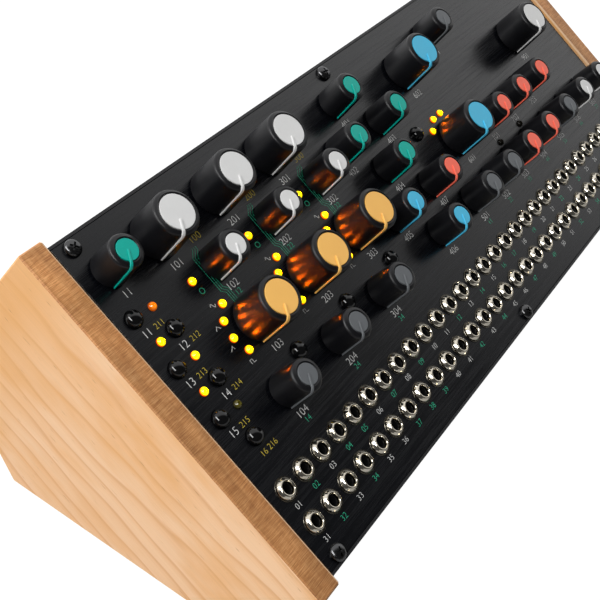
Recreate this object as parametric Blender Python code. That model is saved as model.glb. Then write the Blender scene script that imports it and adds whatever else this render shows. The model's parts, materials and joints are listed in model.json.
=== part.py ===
"""Semi-modular synthesizer: a sloping control panel with knobs, push-buttons, lamps and two rows
of patch sockets, in a folded steel case between two wooden cheeks.

Sizes are in millimetres. Places on the panel are u, v and h: u runs from the panel's left edge to
the right, v from the case's rear edge down the slope towards the player, and h out of the panel.
"""

import math

import bmesh
import bpy
from mathutils import Vector

MM = 0.001

# Clearances
GAP = 0.3
SIDE_GAP = 0.75
EMBED = 0.5

# Sides of the round forms
HOLE_SIDES = 8
KEY_SIDES = 10
LAMP_SIDES = 6
NECK_SIDES = 6
NUT_SIDES = 8
SCREW_SIDES = 10
ROD_SIDES = 12
PIN_SIDES = 6
SHAFT_SIDES = 6

# Case and cheeks
PANEL_TILT = math.radians(28.0)
PANEL_THICK = 2.0
WALL = 1.0
LEDGE_WIDE = 7.0
LEDGE_THICK = 1.5
FLANGE_WIDE = 12.0
CHEEK_THICK = 10.0
CHEEK_EDGE = 0.6
CHEEK_RISE = 1.2
CHEEK_OVERHANG = 2.7
CHEEK_FRONT = 49.6
CHEEK_REAR = 70.2
CHAMFER_TILT = math.radians(28.3)
BOTTOM_INSET = 2.0
FOOT_PROUD = 1.0
FOOT_WIDE = 10.0
FOOT_INSET = 8.0
FOOT_END_INSET = 12.0

# Oscillator section: three like groups of four knobs
OSC_COUNT = 3
OSC_U = 33.2
OSC_PITCH = 31.5
FIRST_ROW_V = 16.0
FINE_RIGHT = 12.2
FINE_DOWN = 18.8
SHAPE_RIGHT = 9.7
SHAPE_DOWN = 22.0
DEPTH_LEFT = 0.7
DEPTH_DOWN = 23.45
OSC_KEY_RIGHT = 5.2
OSC_KEY_DOWN = 18.0
OSC_LAMP_LEFT = 12.35
GLIDE_U = 11.1

# Key column at the left
KEY_LEFT_U = 6.2
KEY_RIGHT_U = 15.8
KEY_FIRST_V = 33.0
KEY_PITCH = 10.0
KEY_ROWS = 5
LAMP_AFTER_KEY = 8.6
LAMP_BEFORE_KEY = 7.4
LAST_KEY_U = 11.6
LAST_KEY_DOWN = 11.1

# Modulation and filter sections
MOD_RIGHT = 21.3
COLUMN_PITCH = 15.05
ROW_PITCH = 16.05
MOD_ROWS = 5
FILTER_RIGHT = 14.2
WIDE_PITCH = 20.2
WIDE_COLUMNS = 7
CUTOFF_LEFT = 2.0
CUTOFF_UP = 23.25
CUTOFF_PITCH = 35.0
MIX_FIRST_COLUMN = 2
MIX_COUNT = 3
MIX_RIGHT = 1.2
MIX_UP = 20.45
MAIN_COLUMN = 5
MAIN_UP = 40.2
NOISE_RIGHT = 7.1
MOD_KEY_LEFT = 0.2
MOD_KEY_UP = 33.85
AMP_COLUMNS = (2, 3)
AMP_LAMP_RIGHT = 0.8
AMP_LAMP_UP = 8.2
PANEL_RIGHT_MARGIN = 17.0

# Patch sockets
JACK_PITCH = 10.16
JACK_EDGE = 7.5
JACK_ROWS = 2
JACK_ROW_PITCH = 13.36
JACKS_DOWN = 21.75
JACKS_TO_FRONT = 15.2
JACK_BODY_WIDE = 9.0
JACK_BODY_DEEP = 10.5
JACK_NECK_R = 3.0
JACK_NUT_R = 4.13
JACK_NUT_TOP = 1.8
JACK_BORE_R = 1.8
JACK_BORE_DEPTH = 13.0

# Knobs: outer radius at the foot and at the shoulder, cap radius and height
KNOB_LIFT = 0.9
KNOB_COLUMNS = 12
BIG_FOOT_R = 8.65
BIG_SHOULDER_R = 8.1
BIG_RIM_R = 6.7
BIG_HEIGHT = 17.2
SMALL_FOOT_R = 6.3
SMALL_SHOULDER_R = 5.9
SMALL_RIM_R = 4.3
SMALL_HEIGHT = 14.3
SHOULDER_DROP = 2.0
RIDGE_WIDE = 1.2
RIDGE_PROUD = 0.45
RIDGE_RISE = 0.3
RIDGE_FLARE = 1.35
SHAFT_R = 3.0
REST_CLOCK = math.radians(211.0)

# Buttons, lamps and screws
KEY_R = 3.0
KEY_CROWN_R = 1.7
KEY_HEIGHT = 2.9
KEY_EDGE_HEIGHT = 1.1
KEY_SKIRT_R = 3.9
KEY_TRAVEL = 1.0
LAMP_R = 1.5
LAMP_TOP_R = 0.9
LAMP_HEIGHT = 1.3
LAMP_EDGE_HEIGHT = 0.6
RING_CLEAR = 3.55
CUTOFF_RING_CLEAR = 3.1
SHAPE_RING_CLOCK = (-31.5, -61.3, -91.1, -120.9)
CUTOFF_RING_CLOCK = (13.5, -18.0, -49.5)
SCREW_HEAD_R = 3.0
SCREW_CROWN_R = 1.7
SCREW_HEAD_TALL = 1.9
SCREW_EDGE_TALL = 1.1
SCREW_SHANK_R = 1.5
SCREW_EDGE_U = 6.3
SCREW_EDGE_V = 4.0
SCREW_MIDDLE_U = 151.0
SCREW_SLOT_LONG = 3.0
SCREW_SLOT_WIDE = 0.6
SCREW_SLOT_DEEP = 0.9

# Boards behind the panel
BOARD_THICK = 1.6
BOARD_SPACE = 10.0
BOARD_SIDE_INSET = 2.0
BOARD_SPLIT = 1.0
JACK_BOARD_MARGIN = 1.0
POT_WIDE = 9.5
POT_DEEP = 11.0
SWITCH_WIDE = 6.0
SWITCH_TALL = 4.3

# Connectors in the rear wall
CONNECTOR_H = -34.0
SWITCH_FROM_RIGHT = 60.0
INLET_FROM_RIGHT = 36.0
ROCKER_WIDE = 8.0
ROCKER_HALF = 5.8
ROCKER_EAR = 2.5
ROCKER_NOTCH = 1.4
ROCKER_BELLY = 3.0
ROCKER_CHIN = 0.5
ROCKER_TILT = math.radians(8.0)
ROCKER_PIVOT_V = 1.5
POCKET_HALF = 6.4
POCKET_DEEP = 4.6
HOUSING_WALL = 1.2
HOUSING_PROUD = 1.0
CONNECTOR_DEEP = 13.0
INLET_WIDE = 9.0
INLET_TALL = 11.0
INLET_NECK_R = 4.2
INLET_NECK_PROUD = 0.5
INLET_BORE_R = 2.8
INLET_BORE_DEPTH = 9.0
INLET_PIN_R = 1.0
INLET_PIN_SHORT = 1.0
CONNECTOR_BOARD_MARGIN = 4.0

# Places that follow from the sizes above
FINE_V = FIRST_ROW_V + FINE_DOWN
SHAPE_V = FINE_V + SHAPE_DOWN
DEPTH_V = SHAPE_V + DEPTH_DOWN
LAST_ROW_V = max(DEPTH_V, MOD_ROWS * ROW_PITCH)
MOD_U = OSC_U + SHAPE_RIGHT + (OSC_COUNT - 1) * OSC_PITCH + MOD_RIGHT
FILTER_U = MOD_U + 2 * COLUMN_PITCH + FILTER_RIGHT
PANEL_WIDE = FILTER_U + (WIDE_COLUMNS - 1) * WIDE_PITCH + PANEL_RIGHT_MARGIN
JACK_FIRST_V = LAST_ROW_V + JACKS_DOWN
CASE_DEEP = JACK_FIRST_V + (JACK_ROWS - 1) * JACK_ROW_PITCH + JACKS_TO_FRONT
JACK_COLUMNS = int((PANEL_WIDE - 2 * JACK_EDGE) / JACK_PITCH) + 1
JACK_FIRST_U = (PANEL_WIDE - (JACK_COLUMNS - 1) * JACK_PITCH) / 2
RING_R = BIG_FOOT_R + RING_CLEAR
CUTOFF_RING_R = BIG_FOOT_R + CUTOFF_RING_CLEAR
CUTOFF_U = FILTER_U + WIDE_PITCH - CUTOFF_LEFT
CUTOFF_V = LAST_ROW_V - CUTOFF_UP
PANEL_BACK = -PANEL_THICK
BOARD_TOP = PANEL_BACK - BOARD_SPACE
SEAT_DEPTH = PANEL_THICK + GAP


def on_circle(radius, clock_degrees):
    """Offset in u and v at a clock angle: nought towards the rear edge, clockwise positive."""
    angle = math.radians(clock_degrees)
    return radius * math.sin(angle), -radius * math.cos(angle)


def knob_places():
    """Every knob as (name, is it big, cap colour, u, v)."""
    places = [("glide_knob", False, "teal", GLIDE_U, FIRST_ROW_V)]
    for i in range(OSC_COUNT):
        u = OSC_U + i * OSC_PITCH
        places.append((f"pitch_knob_{i + 1}", True, "white", u, FIRST_ROW_V))
        places.append((f"fine_knob_{i + 1}", False, "white", u + FINE_RIGHT, FINE_V))
        places.append((f"shape_knob_{i + 1}", True, "amber", u + SHAPE_RIGHT, SHAPE_V))
        places.append((f"depth_knob_{i + 1}", False, "grey", u - DEPTH_LEFT, DEPTH_V))
    for i, (column, row, colour) in enumerate(
        ((1, 1, "teal"), (0, 2, "teal"), (2, 2, "teal"), (1, 3, "teal"),
         (0, 4, "blue"), (1, 5, "blue"), (2, 4, "red"))
    ):
        u = MOD_U + column * COLUMN_PITCH
        places.append((f"mod_knob_{i + 1}", False, colour, u, row * ROW_PITCH))
    row_colours = ("grey", "grey", "red", "red", "grey", "white", "white")
    for i in range(WIDE_COLUMNS):
        colour = row_colours[i % len(row_colours)]
        places.append((f"row_knob_{i + 1}", False, colour, FILTER_U + i * WIDE_PITCH, LAST_ROW_V))
    places.append(("cutoff_knob_1", True, "blue", CUTOFF_U, CUTOFF_V))
    places.append(("cutoff_knob_2", True, "blue", CUTOFF_U, CUTOFF_V - CUTOFF_PITCH))
    for i in range(MIX_COUNT):
        u = FILTER_U + (i + MIX_FIRST_COLUMN) * WIDE_PITCH + MIX_RIGHT
        places.append((f"mix_knob_{i + 1}", False, "red", u, LAST_ROW_V - MIX_UP))
    noise_u = FILTER_U + MIX_FIRST_COLUMN * WIDE_PITCH + NOISE_RIGHT
    places.append(("noise_knob", False, "grey", noise_u, FIRST_ROW_V))
    main_u = FILTER_U + MAIN_COLUMN * WIDE_PITCH
    places.append(("main_knob", True, "white", main_u, LAST_ROW_V - MAIN_UP))
    return places


def key_places():
    """Every push-button as (name, u, v)."""
    places = []
    for i in range(KEY_ROWS):
        u = KEY_RIGHT_U if i % 2 else KEY_LEFT_U
        places.append((u, KEY_FIRST_V + i * KEY_PITCH))
    places.append((LAST_KEY_U, KEY_FIRST_V + (KEY_ROWS - 1) * KEY_PITCH + LAST_KEY_DOWN))
    for i in range(OSC_COUNT):
        u = OSC_U + SHAPE_RIGHT + i * OSC_PITCH + OSC_KEY_RIGHT
        places.append((u, SHAPE_V + OSC_KEY_DOWN))
    places.append((FILTER_U - MOD_KEY_LEFT, LAST_ROW_V - MOD_KEY_UP))
    return [(f"button_{i + 1:02d}", u, v) for i, (u, v) in enumerate(places)]


def lamp_places():
    """Every lamp lens as (u, v)."""
    places = []
    for i in range(OSC_COUNT):
        u = OSC_U + i * OSC_PITCH
        places.append((u + FINE_RIGHT - OSC_LAMP_LEFT, FINE_V))
        for clock in SHAPE_RING_CLOCK:
            right, down = on_circle(RING_R, clock)
            places.append((u + SHAPE_RIGHT + right, SHAPE_V + down))
    for i in range(KEY_ROWS):
        u = KEY_RIGHT_U - LAMP_BEFORE_KEY if i % 2 else KEY_LEFT_U + LAMP_AFTER_KEY
        places.append((u, KEY_FIRST_V + i * KEY_PITCH))
    for clock in CUTOFF_RING_CLOCK:
        right, down = on_circle(CUTOFF_RING_R, clock)
        places.append((CUTOFF_U + right, CUTOFF_V + down))
    for i in AMP_COLUMNS:
        u = FILTER_U + i * WIDE_PITCH + AMP_LAMP_RIGHT
        places.append((u, LAST_ROW_V - AMP_LAMP_UP))
    return places


def jack_places():
    """Every patch socket as (u, v)."""
    return [
        (JACK_FIRST_U + i * JACK_PITCH, JACK_FIRST_V + row * JACK_ROW_PITCH)
        for row in range(JACK_ROWS)
        for i in range(JACK_COLUMNS)
    ]


def screw_places():
    """Every panel screw as (u, v)."""
    columns = (SCREW_EDGE_U, SCREW_MIDDLE_U, PANEL_WIDE - SCREW_EDGE_U)
    return [(u, v) for v in (SCREW_EDGE_V, CASE_DEEP - SCREW_EDGE_V) for u in columns]


# Profiles of the case and cheeks, as (v, h) corners going anticlockwise from the rear top corner

def crossing(point_a, along_a, point_b, along_b):
    """Where two lines meet."""
    across = along_a.cross(along_b)
    return point_a + along_a * ((point_b - point_a).cross(along_b) / across)


def inset(profile, distances):
    """Moves each side of a convex profile inward by its own distance."""
    lines = []
    for i, start in enumerate(profile):
        along = (profile[(i + 1) % len(profile)] - start).normalized()
        inward = Vector((-along.y, along.x))
        lines.append((start + inward * distances[i], along))
    return [crossing(*lines[i - 1], *lines[i]) for i in range(len(lines))]


def cheek_profile():
    """The cheek's outline: its base is level and its top is parallel to the panel."""
    rear_top = Vector((-CHEEK_OVERHANG, CHEEK_RISE))
    rear_low = Vector((-CHEEK_OVERHANG, CHEEK_RISE - CHEEK_REAR))
    front_low = Vector((CASE_DEEP + CHEEK_OVERHANG, CHEEK_RISE - CHEEK_FRONT))
    front_top = Vector((CASE_DEEP + CHEEK_OVERHANG, CHEEK_RISE))
    chamfer = Vector((math.cos(CHAMFER_TILT), -math.sin(CHAMFER_TILT)))
    base = Vector((math.cos(PANEL_TILT), math.sin(PANEL_TILT)))
    heel = crossing(rear_low, chamfer, front_low, base)
    return [rear_top, rear_low, heel, front_low, front_top]


CHEEK = cheek_profile()
CASE = inset(CHEEK, [CHEEK_OVERHANG, CHEEK_OVERHANG, BOTTOM_INSET, CHEEK_OVERHANG, CHEEK_RISE])


def level(corner):
    """World y and z, in millimetres from the panel frame's origin, of a (v, h) corner."""
    y = -corner.x * math.cos(PANEL_TILT) - corner.y * math.sin(PANEL_TILT)
    z = -corner.x * math.sin(PANEL_TILT) + corner.y * math.cos(PANEL_TILT)
    return y, z


FRAME_Y = -(min(level(c)[0] for c in CHEEK) + max(level(c)[0] for c in CHEEK)) / 2
FRAME_Z = FOOT_PROUD - min(level(c)[1] for c in CHEEK)


# Building tools

def make_material(name, rgb, roughness, metallic):
    """A plain surface of one colour."""
    material = bpy.data.materials.new(name)
    material.use_nodes = True
    shader = material.node_tree.nodes["Principled BSDF"]
    shader.inputs["Base Color"].default_value = (*rgb, 1.0)
    shader.inputs["Roughness"].default_value = roughness
    shader.inputs["Metallic"].default_value = metallic
    material.diffuse_color = (*rgb, 1.0)
    return material


def make_mesh(name, bm, materials, sharp_degrees=40.0):
    """Turns a solid drawn in millimetres into a mesh in metres with its faces pointing out."""
    bmesh.ops.recalc_face_normals(bm, faces=bm.faces)
    bmesh.ops.scale(bm, vec=(MM, MM, MM), verts=bm.verts)
    mesh = bpy.data.meshes.new(name)
    bm.to_mesh(mesh)
    bm.free()
    for material in materials:
        mesh.materials.append(material)
    mesh.shade_smooth()
    mesh.set_sharp_from_angle(angle=math.radians(sharp_degrees))
    return mesh


def place(name, mesh, location=(0.0, 0.0, 0.0), rotation=(0.0, 0.0, 0.0), parent=None):
    """Adds a named object at a place given in millimetres in its parent's frame."""
    obj = bpy.data.objects.new(name, mesh)
    bpy.context.scene.collection.objects.link(obj)
    obj.parent = parent
    obj.location = Vector(location) * MM
    obj.rotation_euler = rotation
    return obj


def on_panel(u, v, h=0.0):
    """A panel place as a point in the panel frame."""
    return (u - PANEL_WIDE / 2, -v, h)


def add_faces(bm, rings, columns):
    """Joins rings of points into a closed skin with a flat face at each end."""
    faces = [bm.faces.new(rings[0]), bm.faces.new(rings[-1])]
    for low, high in zip(rings, rings[1:]):
        for i in range(columns):
            j = (i + 1) % columns
            faces.append(bm.faces.new((low[i], low[j], high[j], high[i])))
    return faces


def add_turned(bm, u, v, sides, profile):
    """A many-sided turned solid, square to the panel, from (radius, h) pairs."""
    rings = []
    for radius, h in profile:
        ring = []
        for i in range(sides):
            angle = 2 * math.pi * (i + 0.5) / sides
            x, y, z = on_panel(u, v, h)
            ring.append(bm.verts.new((x + radius * math.cos(angle), y + radius * math.sin(angle), z)))
        rings.append(ring)
    return add_faces(bm, rings, sides)


def add_box(bm, u, v, wide, deep, low, high):
    """A box centred at u, v and standing square to the panel."""
    corners = ((-1, -1), (1, -1), (1, 1), (-1, 1))
    rings = [
        [bm.verts.new(on_panel(u + a * wide / 2, v + b * deep / 2, h)) for a, b in corners]
        for h in (low, high)
    ]
    return add_faces(bm, rings, 4)


def add_extrusion(bm, profile, low_u, high_u):
    """A (v, h) profile drawn out along the panel's width."""
    rings = [[bm.verts.new(on_panel(u, c.x, c.y)) for c in profile] for u in (low_u, high_u)]
    return add_faces(bm, rings, len(profile))


def add_rod(bm, u, h, radius, sides, low_v, high_v):
    """A rod that runs through the rear wall."""
    rings = []
    for v in (low_v, high_v):
        ring = []
        for i in range(sides):
            angle = 2 * math.pi * (i + 0.5) / sides
            ring.append(bm.verts.new(on_panel(u + radius * math.cos(angle), v, h + radius * math.sin(angle))))
        rings.append(ring)
    return add_faces(bm, rings, sides)


def add_wall_box(bm, u, h, wide, tall, low_v, high_v):
    """A box centred at u, h that runs through the rear wall."""
    return add_box(bm, u, (low_v + high_v) / 2, wide, high_v - low_v, h - tall / 2, h + tall / 2)


def combine(obj, operation, bm, name):
    """Joins a solid to an object, or cuts it away."""
    tool = place(name, make_mesh(name, bm, []), parent=obj.parent)
    tool.hide_render = True
    tool.display_type = "WIRE"
    modifier = obj.modifiers.new(name, "BOOLEAN")
    modifier.operation = operation
    modifier.solver = "EXACT"
    modifier.object = tool


# Scene

for old in list(bpy.data.objects):
    bpy.data.objects.remove(old, do_unlink=True)

WOOD = make_material("honey_wood", (0.62, 0.36, 0.16), 0.5, 0.0)
PANEL_PAINT = make_material("black_panel_paint", (0.012, 0.012, 0.013), 0.35, 0.0)
CASE_PAINT = make_material("black_case_paint", (0.02, 0.02, 0.021), 0.45, 0.0)
BOARD_GREEN = make_material("circuit_board", (0.02, 0.09, 0.04), 0.5, 0.0)
NICKEL = make_material("bright_nickel", (0.68, 0.68, 0.66), 0.22, 1.0)
BLACK_STEEL = make_material("black_steel", (0.03, 0.03, 0.032), 0.3, 1.0)
KNOB_BLACK = make_material("black_knob_plastic", (0.012, 0.012, 0.012), 0.38, 0.0)
BUTTON_BLACK = make_material("black_button_plastic", (0.008, 0.008, 0.008), 0.15, 0.0)
SOCKET_BLACK = make_material("black_socket_plastic", (0.015, 0.015, 0.015), 0.4, 0.0)
RUBBER = make_material("black_rubber", (0.018, 0.018, 0.018), 0.8, 0.0)
CAP_COLOURS = {
    "teal": make_material("teal_cap", (0.0, 0.36, 0.30), 0.45, 0.0),
    "white": make_material("white_cap", (0.66, 0.65, 0.63), 0.45, 0.0),
    "amber": make_material("amber_cap", (0.80, 0.45, 0.13), 0.45, 0.0),
    "grey": make_material("grey_cap", (0.11, 0.12, 0.13), 0.45, 0.0),
    "blue": make_material("blue_cap", (0.08, 0.41, 0.60), 0.45, 0.0),
    "red": make_material("red_cap", (0.80, 0.16, 0.10), 0.45, 0.0),
}

panel_frame = bpy.data.objects.new("panel_frame", None)
bpy.context.scene.collection.objects.link(panel_frame)
panel_frame.location = Vector((0.0, FRAME_Y, FRAME_Z)) * MM
panel_frame.rotation_euler = (PANEL_TILT, 0.0, 0.0)

KNOBS = knob_places()
KEYS = key_places()
LAMPS = lamp_places()
JACKS = jack_places()
SCREWS = screw_places()


# Cheeks

def build_cheek(name, low_u):
    bm = bmesh.new()
    add_extrusion(bm, CHEEK, low_u, low_u + CHEEK_THICK)
    cheek = place(name, make_mesh(name, bm, [WOOD]), parent=panel_frame)
    bevel = cheek.modifiers.new("eased_edges", "BEVEL")
    bevel.width = CHEEK_EDGE * MM
    bevel.segments = 1
    bevel.limit_method = "ANGLE"


build_cheek("left_cheek", -SIDE_GAP - CHEEK_THICK)
build_cheek("right_cheek", PANEL_WIDE + SIDE_GAP)


# Case: one folded sheet with end flanges, and a welded ledge along the front and the rear

CASE_LOW_U = -SIDE_GAP + GAP
CASE_HIGH_U = PANEL_WIDE + SIDE_GAP - GAP
SWITCH_U = PANEL_WIDE - SWITCH_FROM_RIGHT
INLET_U = PANEL_WIDE - INLET_FROM_RIGHT
HOUSING_WIDE = ROCKER_WIDE + 2 * (GAP + HOUSING_WALL)
HOUSING_TALL = 2 * (POCKET_HALF + HOUSING_WALL)

bm = bmesh.new()
add_extrusion(bm, CASE, CASE_LOW_U, CASE_HIGH_U)
case_shell = place("case_shell", make_mesh("case_shell", bm, [CASE_PAINT]), parent=panel_frame)

bm = bmesh.new()
hollow = inset(CASE, [WALL, WALL, WALL, WALL, SEAT_DEPTH + LEDGE_THICK])
add_extrusion(bm, hollow, CASE_LOW_U + WALL, CASE_HIGH_U - WALL)
combine(case_shell, "DIFFERENCE", bm, "case_hollow")

bm = bmesh.new()
window = inset(CASE, [FLANGE_WIDE] * 4 + [FLANGE_WIDE + SEAT_DEPTH])
add_extrusion(bm, window, CASE_LOW_U - WALL, CASE_HIGH_U + WALL)
combine(case_shell, "DIFFERENCE", bm, "case_end_windows")

bm = bmesh.new()
seat_deep = CASE_DEEP - 2 * WALL
seat_wide = PANEL_WIDE + 2 * (SIDE_GAP + GAP)
add_box(bm, PANEL_WIDE / 2, CASE_DEEP / 2, seat_wide, seat_deep, -SEAT_DEPTH, WALL)
combine(case_shell, "DIFFERENCE", bm, "panel_seat")

bm = bmesh.new()
well_wide = CASE_HIGH_U - CASE_LOW_U - 2 * WALL
well_low = -SEAT_DEPTH - LEDGE_THICK - WALL
add_box(bm, PANEL_WIDE / 2, CASE_DEEP / 2, well_wide, seat_deep - 2 * LEDGE_WIDE, well_low, 0.0)
combine(case_shell, "DIFFERENCE", bm, "panel_well")

bm = bmesh.new()
for u, v in SCREWS:
    add_turned(bm, u, v, HOLE_SIDES, [(SCREW_SHANK_R + GAP, well_low), (SCREW_SHANK_R + GAP, 0.0)])
add_wall_box(bm, SWITCH_U, CONNECTOR_H, HOUSING_WIDE + 2 * GAP, HOUSING_TALL + 2 * GAP, -WALL, 2 * WALL)
add_rod(bm, INLET_U, CONNECTOR_H, INLET_NECK_R + GAP, ROD_SIDES, -WALL, 2 * WALL)
combine(case_shell, "DIFFERENCE", bm, "case_holes")


# Front panel

bm = bmesh.new()
panel_deep = CASE_DEEP - 2 * (WALL + GAP)
add_box(bm, PANEL_WIDE / 2, CASE_DEEP / 2, PANEL_WIDE, panel_deep, PANEL_BACK, 0.0)
front_panel = place("front_panel", make_mesh("front_panel", bm, [PANEL_PAINT]), parent=panel_frame)

bm = bmesh.new()
drill_low = PANEL_BACK - GAP
for _, _, _, u, v in KNOBS:
    add_turned(bm, u, v, HOLE_SIDES, [(SHAFT_R + 2 * GAP, drill_low), (SHAFT_R + 2 * GAP, GAP)])
for _, u, v in KEYS:
    add_turned(bm, u, v, KEY_SIDES, [(KEY_R + GAP, drill_low), (KEY_R + GAP, GAP)])
for u, v in LAMPS:
    add_turned(bm, u, v, LAMP_SIDES, [(LAMP_R + GAP, drill_low), (LAMP_R + GAP, GAP)])
for u, v in JACKS:
    add_turned(bm, u, v, NECK_SIDES, [(JACK_NECK_R + GAP, drill_low), (JACK_NECK_R + GAP, GAP)])
for u, v in SCREWS:
    add_turned(bm, u, v, HOLE_SIDES, [(SCREW_SHANK_R + GAP, drill_low), (SCREW_SHANK_R + GAP, GAP)])
combine(front_panel, "DIFFERENCE", bm, "panel_holes")


# Control board: circuit board with the potentiometer bodies, switches and lamp lenses on it

board_wide = PANEL_WIDE - 2 * BOARD_SIDE_INSET
ledge_end = WALL + LEDGE_WIDE + GAP
jack_board_start = JACK_FIRST_V - JACK_BODY_DEEP / 2 - JACK_BOARD_MARGIN
control_board_end = jack_board_start - BOARD_SPLIT

bm = bmesh.new()
deep = control_board_end - ledge_end
middle = (control_board_end + ledge_end) / 2
add_box(bm, PANEL_WIDE / 2, middle, board_wide, deep, BOARD_TOP - BOARD_THICK, BOARD_TOP)
control_board = place("control_board", make_mesh("control_board", bm, [BOARD_GREEN]), parent=panel_frame)

bm = bmesh.new()
for _, _, _, u, v in KNOBS:
    add_box(bm, u, v, POT_WIDE, POT_DEEP, BOARD_TOP - EMBED, PANEL_BACK - GAP)
for _, u, v in KEYS:
    add_box(bm, u, v, SWITCH_WIDE, SWITCH_WIDE, BOARD_TOP - EMBED, BOARD_TOP + SWITCH_TALL)
for u, v in LAMPS:
    lens = [
        (LAMP_R, BOARD_TOP - EMBED),
        (LAMP_R, LAMP_EDGE_HEIGHT),
        (LAMP_TOP_R, LAMP_HEIGHT),
    ]
    add_turned(bm, u, v, LAMP_SIDES, lens)
combine(control_board, "UNION", bm, "board_parts")


# Jack board: circuit board with the socket bodies, their threaded necks and their nuts

bm = bmesh.new()
jack_board_end = CASE_DEEP - ledge_end
deep = jack_board_end - jack_board_start
middle = (jack_board_end + jack_board_start) / 2
add_box(bm, PANEL_WIDE / 2, middle, board_wide, deep, BOARD_TOP - BOARD_THICK, BOARD_TOP)
jack_board = place("jack_board", make_mesh("jack_board", bm, [NICKEL]), parent=panel_frame)

bodies = bmesh.new()
necks = bmesh.new()
nuts = bmesh.new()
bores = bmesh.new()
for u, v in JACKS:
    add_box(bodies, u, v, JACK_BODY_WIDE, JACK_BODY_DEEP, BOARD_TOP - EMBED, PANEL_BACK - GAP)
    neck = [(JACK_NECK_R, PANEL_BACK - GAP - EMBED), (JACK_NECK_R, GAP + EMBED)]
    add_turned(necks, u, v, NECK_SIDES, neck)
    add_turned(nuts, u, v, NUT_SIDES, [(JACK_NUT_R, GAP), (JACK_NUT_R, JACK_NUT_TOP)])
    bore = [(JACK_BORE_R, JACK_NUT_TOP - JACK_BORE_DEPTH), (JACK_BORE_R, JACK_NUT_TOP + GAP)]
    add_turned(bores, u, v, NUT_SIDES, bore)
combine(jack_board, "UNION", bodies, "jack_bodies")
combine(jack_board, "UNION", necks, "jack_necks")
combine(jack_board, "UNION", nuts, "jack_nuts")
combine(jack_board, "DIFFERENCE", bores, "jack_bores")


# Connector board behind the rear wall: power inlet and rocker switch housing

bm = bmesh.new()
board_low_u = SWITCH_U - HOUSING_WIDE / 2 - CONNECTOR_BOARD_MARGIN
board_high_u = INLET_U + INLET_WIDE / 2 + CONNECTOR_BOARD_MARGIN
board_tall = HOUSING_TALL + 2 * CONNECTOR_BOARD_MARGIN
add_wall_box(
    bm, (board_low_u + board_high_u) / 2, CONNECTOR_H, board_high_u - board_low_u, board_tall,
    CONNECTOR_DEEP, CONNECTOR_DEEP + BOARD_THICK,
)
connector_board = place(
    "connector_board", make_mesh("connector_board", bm, [SOCKET_BLACK]), parent=panel_frame
)

bm = bmesh.new()
back = CONNECTOR_DEEP + EMBED
add_wall_box(bm, SWITCH_U, CONNECTOR_H, HOUSING_WIDE, HOUSING_TALL, -HOUSING_PROUD, back)
add_wall_box(bm, INLET_U, CONNECTOR_H, INLET_WIDE, INLET_TALL, WALL + GAP, back)
combine(connector_board, "UNION", bm, "connector_bodies")

bm = bmesh.new()
add_rod(bm, INLET_U, CONNECTOR_H, INLET_NECK_R, ROD_SIDES, -INLET_NECK_PROUD, WALL + GAP + EMBED)
combine(connector_board, "UNION", bm, "inlet_neck")

bm = bmesh.new()
pocket_floor = ROCKER_PIVOT_V + POCKET_DEEP
pocket_wide = ROCKER_WIDE + 2 * GAP
add_wall_box(
    bm, SWITCH_U, CONNECTOR_H, pocket_wide, 2 * POCKET_HALF, -HOUSING_PROUD - GAP, pocket_floor
)
bore_end = INLET_BORE_DEPTH - INLET_NECK_PROUD
add_rod(bm, INLET_U, CONNECTOR_H, INLET_BORE_R, ROD_SIDES, -INLET_NECK_PROUD - GAP, bore_end)
combine(connector_board, "DIFFERENCE", bm, "connector_hollows")

bm = bmesh.new()
pin_start = INLET_PIN_SHORT - INLET_NECK_PROUD
add_rod(bm, INLET_U, CONNECTOR_H, INLET_PIN_R, PIN_SIDES, pin_start, bore_end + EMBED)
combine(connector_board, "UNION", bm, "inlet_pin")


# Power rocker, drawn about its pivot and resting on its lower half

bm = bmesh.new()
outline = (
    (-ROCKER_HALF, ROCKER_EAR), (-ROCKER_HALF, -ROCKER_CHIN), (-ROCKER_BELLY, -ROCKER_BELLY),
    (ROCKER_BELLY, -ROCKER_BELLY), (ROCKER_HALF, -ROCKER_CHIN), (ROCKER_HALF, ROCKER_EAR),
    (0.0, ROCKER_NOTCH),
)
rings = [
    [bm.verts.new((side * ROCKER_WIDE / 2, out, up)) for up, out in outline] for side in (-1, 1)
]
add_faces(bm, rings, len(outline))
place(
    "power_rocker",
    make_mesh("power_rocker", bm, [SOCKET_BLACK]),
    on_panel(SWITCH_U, ROCKER_PIVOT_V, CONNECTOR_H),
    (-ROCKER_TILT, 0.0, 0.0),
    panel_frame,
)


# Rubber foot strips under the level base

FOOT_TALL = FOOT_PROUD + BOTTOM_INSET - GAP
FOOT_LONG = PANEL_WIDE - 2 * FOOT_END_INSET
base_rear_y = FRAME_Y + level(CASE[2])[0]
base_front_y = FRAME_Y + level(CASE[3])[0]
for name, y in (
    ("rear_foot_strip", base_rear_y - FOOT_INSET - FOOT_WIDE / 2),
    ("front_foot_strip", base_front_y + FOOT_INSET + FOOT_WIDE / 2),
):
    bm = bmesh.new()
    bmesh.ops.create_cube(bm, size=1.0)
    bmesh.ops.scale(bm, vec=(FOOT_LONG, FOOT_WIDE, FOOT_TALL), verts=bm.verts)
    place(name, make_mesh(name, bm, [RUBBER]), (0.0, y, FOOT_TALL / 2))


# Panel screws

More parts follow.
